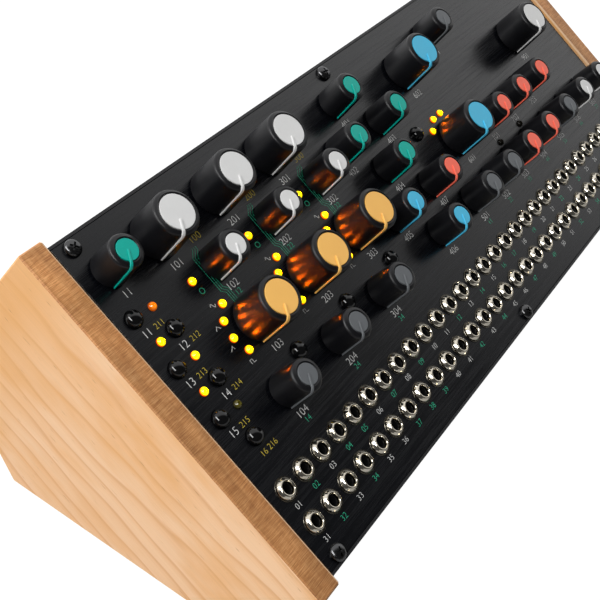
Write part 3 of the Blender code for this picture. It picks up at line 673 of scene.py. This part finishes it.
def repeated(name, pattern_mesh, places, material, largest_turn=0.0, seed=1):
    """One piece made of a copy of the pattern at each u and v, grown by the scatter tree."""
    pattern = bpy.data.objects.new("pattern", pattern_mesh)
    bpy.context.scene.collection.objects.link(pattern)
    spots = bpy.data.meshes.new("spots")
    spots.from_pydata([(u, -v, 0.0) for u, v in places], [], [])
    carrier = bpy.data.objects.new("carrier", spots)
    bpy.context.scene.collection.objects.link(carrier)
    modifier = carrier.modifiers.new("copies", "NODES")
    modifier.node_group = SCATTER
    values = {"Pattern": pattern, "Largest turn": largest_turn, "Seed": seed, "Finish": material}
    for socket in SCATTER.interface.items_tree:
        if socket.item_type == "SOCKET" and socket.name in values:
            modifier[socket.identifier] = values[socket.name]
    graph = bpy.context.evaluated_depsgraph_get()
    mesh = bpy.data.meshes.new_from_object(carrier.evaluated_get(graph))
    bpy.data.objects.remove(carrier)
    bpy.data.objects.remove(pattern)
    return finished(name, mesh, [material])


# Cheeks, case, feet and rear connectors: the solids have the right shape and take their finishes

def dress(node, material):
    """Gives one of the solids its finish."""
    mesh = frame["nodes"][node].data
    mesh.materials.clear()
    mesh.materials.append(material)


for node in ("left_cheek", "right_cheek"):
    dress(node, MAPLE)
dress("case_shell", POWDER)
dress("front_foot_strip", FOOT_RUBBER)
dress("rear_foot_strip", FOOT_RUBBER)
dress("connector_board", SOCKET_NYLON)
dress("power_rocker", BUTTON_ABS)


# Front panel: a plate with a fine chamfer and round holes

PANEL_EDGE = 0.12
KNOB_HOLE_R = 3.6
BUTTON_HOLE_R = 3.25
JACK_HOLE_R = 3.3
SCREW_HOLE_R = 1.8
LAMP_CLEARANCE = 0.1


def front_plate():
    """The flat plate with a hole for each control, lamp, socket and screw."""
    bm = bmesh.new()
    low_v = WALL + GAP / 2
    box(bm, (0.0, -CASE_DEEP + low_v, -PANEL_THICK), (PANEL_WIDE, -low_v, 0.0))
    bmesh.ops.bevel(bm, geom=bm.edges[:], offset=PANEL_EDGE, segments=1, affect="EDGES")
    plate = mesh_of(bm)
    holes = bmesh.new()
    sizes = [
        (KNOBS.values(), KNOB_HOLE_R, 24),
        (map(node_centre, BUTTONS), BUTTON_HOLE_R, 32),
        (JACKS, JACK_HOLE_R, 20),
    ]
    sizes += [(LAMPS[kind], LAMP_R + LAMP_CLEARANCE, 24) for kind in LAMPS]
    sizes += [(SCREWS, SCREW_HOLE_R, 16)]
    for places, radius, sides in sizes:
        for u, v in places:
            turned(holes, [(0, -3.0), (radius, -3.0), (radius, 1.0), (0, 1.0)], sides, (u, -v))
    return cut(plate, mesh_of(holes))


panel_plate = finished("front_plate", front_plate(), [ANODISED], 20.0)
fit(panel_plate, CASE, ["front_panel"])


# Knobs: skirt, shoulder and groove in one turned body, with a coloured insert and raised pointer

# Radii of the foot and the top, height, rounding of the shoulder, radii of the groove and the cap
BIG_KNOB = (8.65, 8.2, 17.12, 1.35, 6.85, 6.2)
SMALL_KNOB = (6.3, 5.95, 14.3, 1.3, 4.35, 3.76)
HUB_R = 3.0
HUB_LOW = -2.0
CAP_SEAT = 0.8

# The pointer's path: distance from the axis, height and width
BIG_POINTER = (
    (2.8, 17.12, 0.6), (3.1, 17.25, 0.8), (6.2, 17.28, 0.9), (6.9, 17.32, 1.0), (7.4, 17.05, 1.1),
    (7.95, 16.5, 1.15), (8.25, 15.7, 1.0), (8.35, 14.6, 0.85), (8.55, 8.0, 0.65), (8.8, 1.2, 0.5),
)
SMALL_POINTER = (
    (0.0, 14.22, 0.5), (0.3, 14.34, 0.7), (3.7, 14.36, 0.8), (4.5, 14.4, 0.9), (5.1, 14.1, 1.0),
    (5.65, 13.55, 1.05), (5.98, 12.8, 0.95), (6.1, 11.7, 0.8), (6.25, 7.0, 0.6), (6.45, 1.2, 0.45),
)
# Its section: a share of the width to each side, and the rise above the path in mm
POINTER_SECTION = ((-0.5, -0.5), (-0.5, 0.2), (-0.36, 0.32), (0.36, 0.32), (0.5, 0.2), (0.5, -0.5))


def knob_profile(big):
    """Turned outline from the shaft hole round the skirt to the floor of the cap's groove."""
    foot, top, height, shoulder, groove, cap = BIG_KNOB if big else SMALL_KNOB
    outline = [
        (0.0, HUB_LOW), (HUB_R, HUB_LOW), (HUB_R, 1.6), (foot - 1.4, 1.6), (foot - 1.3, 0.9),
        (foot - 0.15, 0.9), (foot, 1.1), (foot - 0.03, 2.0),
    ]
    outline += fillet(top - shoulder, height - shoulder - 0.25, shoulder, 2.0, 68.0, 7)
    outline += [
        (groove, height), (groove - 0.12, height - 0.06), (cap + 0.14, height - 0.35),
        (cap + 0.06, height - CAP_SEAT), (0.0, height - CAP_SEAT),
    ]
    return outline, cap, height


def pointer(bm, big):
    """A raised line from the cap over the shoulder and down the skirt, square in section."""
    path = BIG_POINTER if big else SMALL_POINTER
    rings = []
    for i, (r, h, wide) in enumerate(path):
        before = path[max(i - 1, 0)]
        after = path[min(i + 1, len(path) - 1)]
        along = Vector((after[0] - before[0], after[1] - before[1])).normalized()
        out = Vector((-along.y, along.x))
        if out.x + out.y < 0:
            out.negate()
        rings.append([
            bm.verts.new((side * wide, r + out.x * lift, h + out.y * lift))
            for side, lift in POINTER_SECTION
        ])
    bm.faces.new(rings[0])
    bm.faces.new(rings[-1])
    for low, high in zip(rings, rings[1:]):
        for i in range(6):
            j = (i + 1) % 6
            bm.faces.new((low[i], low[j], high[j], high[i]))


def knob_body_mesh(big):
    """The black skirt, shoulder and groove."""
    outline, _, _ = knob_profile(big)
    bm = bmesh.new()
    turned(bm, outline, 72)
    return mesh_of(bm)


def knob_cap_mesh(big):
    """The coloured insert with its pointer."""
    _, cap, height = knob_profile(big)
    bm = bmesh.new()
    disc = [
        (0.0, height - 1.0), (cap, height - 1.0), (cap, height - 0.12), (cap - 0.1, height - 0.02),
        (0.0, height),
    ]
    turned(bm, disc, 64)
    pointer(bm, big)
    return mesh_of(bm)


KNOB_PATTERNS = {big: (knob_body_mesh(big), knob_cap_mesh(big)) for big in (True, False)}

for name, (u, v) in KNOBS.items():
    colour = SLOTS[name].split("_")[1]
    body_mesh, cap_mesh = [mesh.copy() for mesh in KNOB_PATTERNS[is_big(name)]]
    turn = Matrix.Translation((u, -v, 0.0)) @ Matrix.Rotation(-REST_CLOCK, 4, "Z")
    body_mesh.transform(turn)
    cap_mesh.transform(turn)
    fit(finished(name + "_body", body_mesh, [KNOB_ABS]), name, [name])
    fit(finished(name + "_cap", cap_mesh, [CAPS[colour]], 30.0), name, ())


# Push-buttons: glossy domes with a skirt below the panel

BUTTON_R = 3.0
BUTTON_SKIRT_R = 3.9
SKIRT_TOP = -2.3
DOME_LOW = 0.6
GLOSS_FROM = 1.7


def button_mesh():
    """A polished oval dome on a matt side, with the skirt that holds it in."""
    outline = [
        (0.0, KEY_LOW), (BUTTON_SKIRT_R, KEY_LOW), (BUTTON_SKIRT_R, SKIRT_TOP),
        (BUTTON_R, SKIRT_TOP), (BUTTON_R, DOME_LOW),
    ]
    for i in range(1, 16):
        angle = math.radians(90.0 * i / 16)
        rise = (KEY_HEIGHT - DOME_LOW) * math.sin(angle)
        outline.append((BUTTON_R * math.cos(angle), DOME_LOW + rise))
    outline.append((0.0, KEY_HEIGHT))
    bm = bmesh.new()
    turned(bm, outline, 48)
    for face in bm.faces:
        face.material_index = int(face.calc_center_median().z < GLOSS_FROM)
    return mesh_of(bm)


BUTTON_PATTERN = button_mesh()
for name in BUTTONS:
    mesh = BUTTON_PATTERN.copy()
    u, v = node_centre(name)
    mesh.transform(Matrix.Translation((u, -v, 0.0)))
    fit(finished(name + "_dome", mesh, [BUTTON_ABS, BUTTON_SIDE]), name, [name])


# Lamps

CUP_R = 0.7
CUP_FLOOR = 0.56
LENS_FOOT = 0.3
LENS_SHOULDER = 0.2


def lens_mesh():
    """A domed lens whose chip lies in a small cup, so that its light goes up, not along the panel."""
    foot = BOARD_TOP - LENS_FOOT
    outline = [(0.0, foot), (LAMP_R, foot)]
    for i in range(5):
        angle = math.radians(12.0 * i)
        rise = (LAMP_HEIGHT - LENS_SHOULDER) * math.sin(angle)
        outline.append((LAMP_R * math.cos(angle), LENS_SHOULDER + rise))
    outline += [(CUP_R, LAMP_HEIGHT), (CUP_R - 0.05, CUP_FLOOR), (0.0, CUP_FLOOR)]
    bm = bmesh.new()
    turned(bm, outline, 24)
    mesh = mesh_of(bm)
    rim = mesh.attributes.new("rim", "FLOAT", "POINT")
    for i, vertex in enumerate(mesh.vertices):
        rim.data[i].value = math.hypot(vertex.co.x, vertex.co.y) / LAMP_R
    return mesh


LENSES = {"lit": LIT_LENS, "dimmed": DIM_LENS, "olive": OLIVE_LENS, "dark": DARK_LENS}
for kind, lens in LENSES.items():
    fit(repeated(f"{kind}_lamp_lenses", lens_mesh(), LAMPS[kind], lens), CASE)


# Control board under the panel, with its potentiometers and switches

CONTROL_BOARD_V = (8.3, 94.75)
JACK_BOARD_V = (95.75, 122.26)
BOARD_INSET = 2.0
POT_WIDE = 9.5
POT_DEEP = 11.0
POT_TOP = -2.3
SWITCH_WIDE = 6.0
SWITCH_TOP = -7.7


def board(low_v, high_v):
    """A circuit board across the case between two places down the slope."""
    bm = bmesh.new()
    low = (BOARD_INSET, -high_v, BOARD_TOP - BOARD_THICK)
    box(bm, low, (PANEL_WIDE - BOARD_INSET, -low_v, BOARD_TOP))
    bmesh.ops.bevel(bm, geom=bm.edges[:], offset=0.2, segments=1, affect="EDGES")
    return mesh_of(bm)


def block_mesh(wide, deep, high, ease):
    """A moulded block with eased edges, standing on the board."""
    bm = bmesh.new()
    box(bm, (-wide / 2, -deep / 2, BOARD_TOP), (wide / 2, deep / 2, high))
    bmesh.ops.bevel(bm, geom=bm.edges[:], offset=ease, segments=2, affect="EDGES")
    return mesh_of(bm)


control_plate = finished("control_board_plate", board(*CONTROL_BOARD_V), [BOARD_LACQUER])
fit(control_plate, CASE, ["control_board"])
pot = block_mesh(POT_WIDE, POT_DEEP, POT_TOP, 0.5)
fit(repeated("potentiometer_bodies", pot, KNOBS.values(), NICKEL), CASE)
switch = block_mesh(SWITCH_WIDE, SWITCH_WIDE, SWITCH_TOP, 0.3)
switch_spots = [node_centre(name) for name in BUTTONS]
fit(repeated("switch_bodies", switch, switch_spots, SOCKET_NYLON), CASE)


# Patch sockets: flanged nut, rounded sleeve, dark throat, and the moulded bodies on their board

SOCKET_R = 2.8
MERGE = 1e-4


def washer_mesh():
    """Thin stamped washer with a turned-down rim, dull beside the bright nut on it."""
    outline = [
        (SOCKET_R, 0.0), (4.1, 0.0), (4.16, 0.06), (4.16, 0.22), (4.1, 0.3), (4.0, 0.3),
        (3.94, 0.14), (3.8, 0.14), (3.76, 0.26), (SOCKET_R, 0.26), (SOCKET_R, 0.0),
    ]
    bm = bmesh.new()
    turned(bm, outline, 36)
    bmesh.ops.remove_doubles(bm, verts=bm.verts, dist=MERGE)
    return mesh_of(bm)


def nut_mesh():
    """Slotted nut: a smooth tapered collar with an undercut foot and two key slots."""
    outline = [
        (SOCKET_R, 0.3), (3.3, 0.3), (3.3, 0.44), (3.62, 0.48), (3.68, 0.58), (3.6, 0.76),
        (3.36, 1.08), (3.06, 1.44), (2.92, 1.62), (SOCKET_R, 1.7), (SOCKET_R, 0.3),
    ]
    bm = bmesh.new()
    turned(bm, outline, 40)
    bmesh.ops.remove_doubles(bm, verts=bm.verts, dist=MERGE)
    nut = mesh_of(bm)
    for side in (-1, 1):
        slot = bmesh.new()
        box(slot, (side * 3.75 - 0.5, -0.32, 0.8), (side * 3.75 + 0.5, 0.32, 2.0))
        nut = cut(nut, mesh_of(slot))
    return nut


def sleeve_mesh():
    """Turned sleeve inside the nut: a rolled lip and a narrow chamfer down to the dark bore."""
    outline = [(2.78, -2.5), (2.78, 1.5)] + fillet(2.54, 1.52, 0.24, 10.0, 110.0, 5)
    outline += [
        (2.3, 1.7), (2.05, 1.38), (1.98, 1.1), (1.98, -1.5), (2.2, -1.5), (2.2, -2.5), (2.78, -2.5)
    ]
    bm = bmesh.new()
    turned(bm, outline, 36)
    bmesh.ops.remove_doubles(bm, verts=bm.verts, dist=MERGE)
    return mesh_of(bm)


def throat_mesh():
    """Black moulding that lines the socket below its sleeve."""
    outline = [
        (0.0, -10.5), (1.9, -10.5), (1.9, 0.2), (1.96, 0.2), (1.96, -1.6), (2.15, -1.6),
        (2.15, -11.0), (0.0, -11.0),
    ]
    bm = bmesh.new()
    turned(bm, outline, 16)
    return mesh_of(bm)


def jack_body_mesh():
    """Moulded socket body with a hole for the sleeve."""
    bm = bmesh.new()
    box(bm, (-4.5, -5.25, BOARD_TOP), (4.5, 5.25, -2.6))
    bmesh.ops.bevel(bm, geom=bm.edges[:], offset=0.4, segments=1, affect="EDGES")
    hole = bmesh.new()
    turned(hole, [(0, -11.2), (2.2, -11.2), (2.2, 0.0), (0, 0.0)], 16)
    return cut(mesh_of(bm), mesh_of(hole))


nuts = repeated("socket_nuts", nut_mesh(), JACKS, NICKEL, FULL_TURN, 7)
fit(nuts, CASE, ["jack_board"])
fit(repeated("socket_washers", washer_mesh(), JACKS, DULL_NICKEL), CASE, ())
sleeves = repeated("socket_sleeves", sleeve_mesh(), JACKS, NICKEL, FULL_TURN, 3)
fit(sleeves, CASE, ())
fit(repeated("socket_throats", throat_mesh(), JACKS, SOCKET_NYLON), CASE)
fit(repeated("socket_bodies", jack_body_mesh(), JACKS, SOCKET_NYLON), CASE)
fit(finished("jack_board_plate", board(*JACK_BOARD_V), [BOARD_LACQUER]), CASE)


# Panel screws: pan heads with a cross recess

HEAD_R = 3.0
RECESS_REACH = 1.55
RECESS_HALF = 0.32
RECESS_FLOOR = 1.1


def screw_mesh():
    """A pan head on a short shank, with a cross cut into it."""
    outline = [(0.0, -3.8), (1.5, -3.8), (1.5, 0.02), (2.9, 0.02), (HEAD_R, 0.12)]
    for i in range(9):
        angle = math.pi / 2 * i / 9
        outline.append((HEAD_R * math.cos(angle) ** 0.75, 0.5 + 1.65 * math.sin(angle)))
    outline.append((0.0, 2.15))
    bm = bmesh.new()
    turned(bm, outline, 48)
    head = mesh_of(bm)
    for x, y in ((RECESS_REACH, RECESS_HALF), (RECESS_HALF, RECESS_REACH)):
        arm = bmesh.new()
        box(arm, (-x, -y, RECESS_FLOOR), (x, y, 3.0))
        head = cut(head, mesh_of(arm))
    return head


screws = repeated("panel_screw_heads", screw_mesh(), SCREWS, BLACKED_STEEL, 1.4, 5)
fit(screws, CASE, [f"panel_screw_{i}" for i in range(1, 7)])


# Printing on the panel: plain numbers, lamp symbols and rules, as a thin film of ink

PRINT_HEIGHT = 0.02
INK_RISE = 0.008
LABEL_SIZE = 3.9
SMALL_LABEL_SIZE = 3.0


def number(text, u, v, size):
    """A printed number as a mesh, centred at u and v."""
    curve = bpy.data.curves.new("number", "FONT")
    curve.body = text
    curve.size = size
    curve.align_x = "CENTER"
    curve.align_y = "CENTER"
    curve.resolution_u = 3
    curve.extrude = INK_RISE
    curve.offset = -0.05
    holder = bpy.data.objects.new("number", curve)
    bpy.context.scene.collection.objects.link(holder)
    graph = bpy.context.evaluated_depsgraph_get()
    mesh = bpy.data.meshes.new_from_object(holder.evaluated_get(graph))
    bpy.data.objects.remove(holder)
    mesh.transform(Matrix.Translation((u, -v, PRINT_HEIGHT)))
    return mesh


def stroke(bm, points, wide):
    """A printed line of even width through u, v points."""
    pairs = []
    count = len(points)
    for i, (u, v) in enumerate(points):
        before = points[max(i - 1, 0)]
        after = points[min(i + 1, count - 1)]
        along = Vector((after[0] - before[0], before[1] - after[1])).normalized()
        side = Vector((-along.y, along.x)) * wide / 2
        top = PRINT_HEIGHT + INK_RISE
        pairs.append([bm.verts.new((u + s * side.x, -v + s * side.y, top)) for s in (-1, 1)])
    for (a, b), (c, d) in zip(pairs, pairs[1:]):
        face = bm.faces.new((a, b, d, c))
        face.normal_update()
        if face.normal.z < 0:
            face.normal_flip()


def printed(name, meshes, strokes, ink):
    """One piece for all that is printed in one ink."""
    bm = bmesh.new()
    for mesh in meshes:
        bm.from_mesh(mesh)
        bpy.data.meshes.remove(mesh)
    for points, wide in strokes:
        stroke(bm, points, wide)
    mesh = bpy.data.meshes.new(name)
    bm.to_mesh(mesh)
    bm.free()
    fit(finished(name, mesh, [ink]), CASE)


def wave(u, v, kind):
    """The small drawing of a wave form beside a lamp."""
    if kind == 0:
        shape = [(t / 6 - 1, math.sin(math.pi * (t / 6 - 1))) for t in range(13)]
    elif kind == 1:
        shape = [(-1, 0.8), (0, -0.8), (1, 0.8)]
    elif kind == 2:
        shape = [(-1, 0.8), (0.6, -0.8), (0.6, 0.8)]
    else:
        shape = [(-1, 0.8), (-1, -0.8), (0, -0.8), (0, 0.8), (1, 0.8)]
    return [(u + 1.1 * x, v + 0.85 * y) for x, y in shape]


white_numbers = []
yellow_numbers = []
green_numbers = []
white_lines = []
green_lines = []

SECTIONS = {"glide": 10, "mod": 400, "row": 500, "cutoff": 600, "mix": 700, "noise": 800, "main": 900}
OSCILLATOR = {"pitch": 1, "fine": 2, "shape": 3, "depth": 4}
BIG_LABEL_DOWN = 11.6
LABEL_DOWN = 9.1
SMALL_LABEL_DOWN = 2.9


def label_knobs():
    """A plain number under each knob: its section's hundreds and its place in the section."""
    for name, (u, v) in KNOBS.items():
        kind = name.split("_")[0]
        order = int(name[-1]) if name[-1].isdigit() else 1
        value = order * 100 + OSCILLATOR[kind] if kind in OSCILLATOR else SECTIONS[kind] + order
        low = v + (BIG_LABEL_DOWN if is_big(name) else LABEL_DOWN)
        white_numbers.append(number(str(value), u, low, LABEL_SIZE))
        if kind in ("depth", "fine", "row"):
            text = str(value % 100 + 10 * order)
            green_numbers.append(number(text, u, low + SMALL_LABEL_DOWN, SMALL_LABEL_SIZE))


HUNDREDS_RIGHT = 12.9
HUNDREDS_V = 24.2
WAVE_OUT = 3.2
WAVE_BACK = 8.0
WAVE_LINE = 0.22
RING_RIGHT = 0.6
RING_V = 39.1
RULES_RIGHT = 8.7
RULE_STEPS = (0.0, 0.95, 1.9)
RULE_LINE = 0.17
# A rule's ends and bends: how far left of its top end, the v, and which way the next rule's lies
RULE_BENDS = (
    (0.0, 26.4, 0), (0.0, 27.0, 1), (2.3, 29.3, 1), (2.3, 43.0, -1), (0.8, 44.5, -1), (0.8, 49.5, 0)
)


def print_oscillator(i):
    """One oscillator's hundreds, a wave form at each of its lamps, a ring and three rules."""
    pitch = KNOBS[f"pitch_knob_{i}"]
    yellow_numbers.append(number(f"{i}00", pitch[0] + HUNDREDS_RIGHT, HUNDREDS_V, LABEL_SIZE))
    for kind, clock in enumerate(SHAPE_RING_CLOCK):
        u, v = around(KNOBS[f"shape_knob_{i}"], SHAPE_RING_R + WAVE_OUT, clock - WAVE_BACK)
        white_lines.append((wave(u, v, kind), WAVE_LINE))
    ring = [around((pitch[0] + RING_RIGHT, RING_V), 1.0, 30 * k) for k in range(13)]
    green_lines.append((ring, WAVE_LINE))
    for step in RULE_STEPS:
        shift = step * math.tan(math.radians(22.5))
        edge = pitch[0] + RULES_RIGHT + step
        rule = [(edge - left, v + side * shift) for left, v, side in RULE_BENDS]
        green_lines.append((rule, RULE_LINE))


label_knobs()
for i in (1, 2, 3):
    print_oscillator(i)

# Pairs of numbers between the lamps of the key column, and a pair below it
KEY_LABELS = ((9.4, 38.5), (16.8, 48.5), (9.4, 58.5), (16.8, 68.5), (9.4, 78.5))
KEY_LABEL_LEFT = 2.6
KEY_LABEL_RIGHT = 3.1
LAST_KEY_LABEL = (13.2, 89.4)
for i, (u, v) in enumerate(KEY_LABELS):
    white_numbers.append(number(str(11 + i), u - KEY_LABEL_LEFT, v, LABEL_SIZE))
    yellow_numbers.append(number(str(211 + i), u + KEY_LABEL_RIGHT, v, SMALL_LABEL_SIZE))
yellow_numbers.append(number("16 216", *LAST_KEY_LABEL, SMALL_LABEL_SIZE))

JACK_LABEL_LEFT = 0.2
JACK_LABEL_DOWN = 6.3
for i, (u, v) in enumerate(JACKS):
    text = number(f"{i + 1:02d}", u - JACK_LABEL_LEFT, v + JACK_LABEL_DOWN, SMALL_LABEL_SIZE)
    if i % 5 in (1, 3) or i % 11 == 4:
        green_numbers.append(text)
    else:
        white_numbers.append(text)

printed("white_printing", white_numbers, white_lines, WHITE_INK)
printed("yellow_printing", yellow_numbers, [], YELLOW_INK)
printed("green_printing", green_numbers, green_lines, GREEN_INK)


# Floor, light and camera

FLOOR_HALF = 3.0
FLOOR_DROP = 0.0005
FLOOR_GLOW = 1.25
FLOOR_GLOW_SHARE = 0.8


def seen_directly(tree):
    """1 where the camera sees a surface straight or through something clear, 0 for its light."""
    path = add(tree, "ShaderNodeLightPath")
    return add(
        tree, "ShaderNodeMath", {"operation": "MAXIMUM"},
        {0: path.outputs["Is Camera Ray"], 1: path.outputs["Is Transmission Ray"]},
    )


def staged_floor():
    """Matt floor that looks almost white to the camera and lights the object like grey card."""
    bm = bmesh.new()
    for x, y in ((-1, -1), (1, -1), (1, 1), (-1, 1)):
        bm.verts.new((x * FLOOR_HALF, y * FLOOR_HALF, -FLOOR_DROP))
    bm.faces.new(bm.verts)
    mesh = bpy.data.meshes.new("floor")
    bm.to_mesh(mesh)
    bm.free()
    made = bpy.data.objects.new("floor", mesh)
    bpy.context.scene.collection.objects.link(made)
    material, tree, shader = new_finish("pale_floor")
    feed(shader, {"Base Color": linear("B4B4B4"), "Roughness": 0.9})
    white = add(tree, "ShaderNodeEmission", None, {"Strength": FLOOR_GLOW})
    soft = add(tree, "ShaderNodeMixShader", None, {0: FLOOR_GLOW_SHARE, 1: shader, 2: white})
    shown = add(tree, "ShaderNodeMixShader", None, {0: seen_directly(tree), 1: shader, 2: soft})
    feed(tree.nodes["Material Output"], {"Surface": shown})
    mesh.materials.append(material)


def soft_light(name, place, target, wide, tall, power):
    """A rectangular white soft light at one place in metres, aimed at another."""
    lamp = bpy.data.lights.new(name, "AREA")
    lamp.shape = "RECTANGLE"
    lamp.size = wide
    lamp.size_y = tall
    lamp.energy = power
    made = bpy.data.objects.new(name, lamp)
    bpy.context.scene.collection.objects.link(made)
    made.location = place
    made.rotation_euler = (Vector(target) - Vector(place)).to_track_quat("-Z", "Y").to_euler()


# Bands of the studio's light: start and end of a direction's share, and the strengths there
REAR_BAND = (-0.1, 0.15, 0.07, 1.13)
LOW_BAND = (0.02, 0.3, 1.4, 0.0)
BACK_BAND = (0.45, 0.9, 0.0, 1.0)
REAR_LEAN = 0.53


def studio():
    """White to the camera; to the object, soft light behind, brightest low down, and dark in front."""
    world = bpy.data.worlds.new("studio")
    bpy.context.scene.world = world
    world.use_nodes = True
    tree = world.node_tree
    direction = add(tree, "ShaderNodeTexCoord").outputs["Generated"]
    split = add(tree, "ShaderNodeSeparateXYZ", None, {"Vector": direction})
    behind = add(
        tree, "ShaderNodeMath", {"operation": "MULTIPLY_ADD"},
        {0: split.outputs["X"], 1: REAR_LEAN, 2: split.outputs["Y"]},
    )
    rear, low, back = [
        add(
            tree, "ShaderNodeMapRange", None,
            {"Value": value, "From Min": start, "From Max": end, "To Min": first, "To Max": last},
        )
        for value, (start, end, first, last) in (
            (behind, REAR_BAND), (split.outputs["Z"], LOW_BAND), (split.outputs["Y"], BACK_BAND)
        )
    ]
    band = add(tree, "ShaderNodeMath", {"operation": "MULTIPLY_ADD"}, {0: low, 1: back, 2: rear})
    strength = add(
        tree, "ShaderNodeMix", {"data_type": "FLOAT"}, {0: seen_directly(tree), 2: band, 3: 1.0}
    )
    feed(tree.nodes["Background"], {"Color": linear("FFFFFF"), "Strength": strength})


# The camera, worked out from the photograph: its own axes and place on the panel, in millimetres
LENS_MM = 66.74
FRAME_MM = 36.0
CAMERA_RIGHT = Vector((0.53598, -0.65220, 0.53607))
CAMERA_UP = Vector((0.50209, 0.75673, 0.41866))
CAMERA_BACK = Vector((-0.67870, 0.04476, 0.73305))
CAMERA_PLACE = Vector((-191.96, -45.79, 275.88))


def photo_camera():
    """The photograph's camera, placed from the panel."""
    lens = bpy.data.cameras.new("camera")
    lens.lens = LENS_MM
    lens.sensor_width = FRAME_MM
    lens.clip_start = 0.01
    made = bpy.data.objects.new("camera", lens)
    bpy.context.scene.collection.objects.link(made)
    axes = Matrix((CAMERA_RIGHT, CAMERA_UP, CAMERA_BACK)).transposed()
    turn = (PANEL.to_3x3() @ Matrix.Scale(1 / MM, 3)) @ axes
    made.matrix_world = Matrix.Translation(PANEL @ CAMERA_PLACE) @ turn.to_4x4()
    bpy.context.scene.camera = made


staged_floor()
studio()
soft_light("left_softbox", (-0.96, 0.19, 1.03), (0.03, 0.0, 0.04), 1.3, 0.26, 15.1)
photo_camera()
bpy.context.scene.view_settings.view_transform = "Standard"
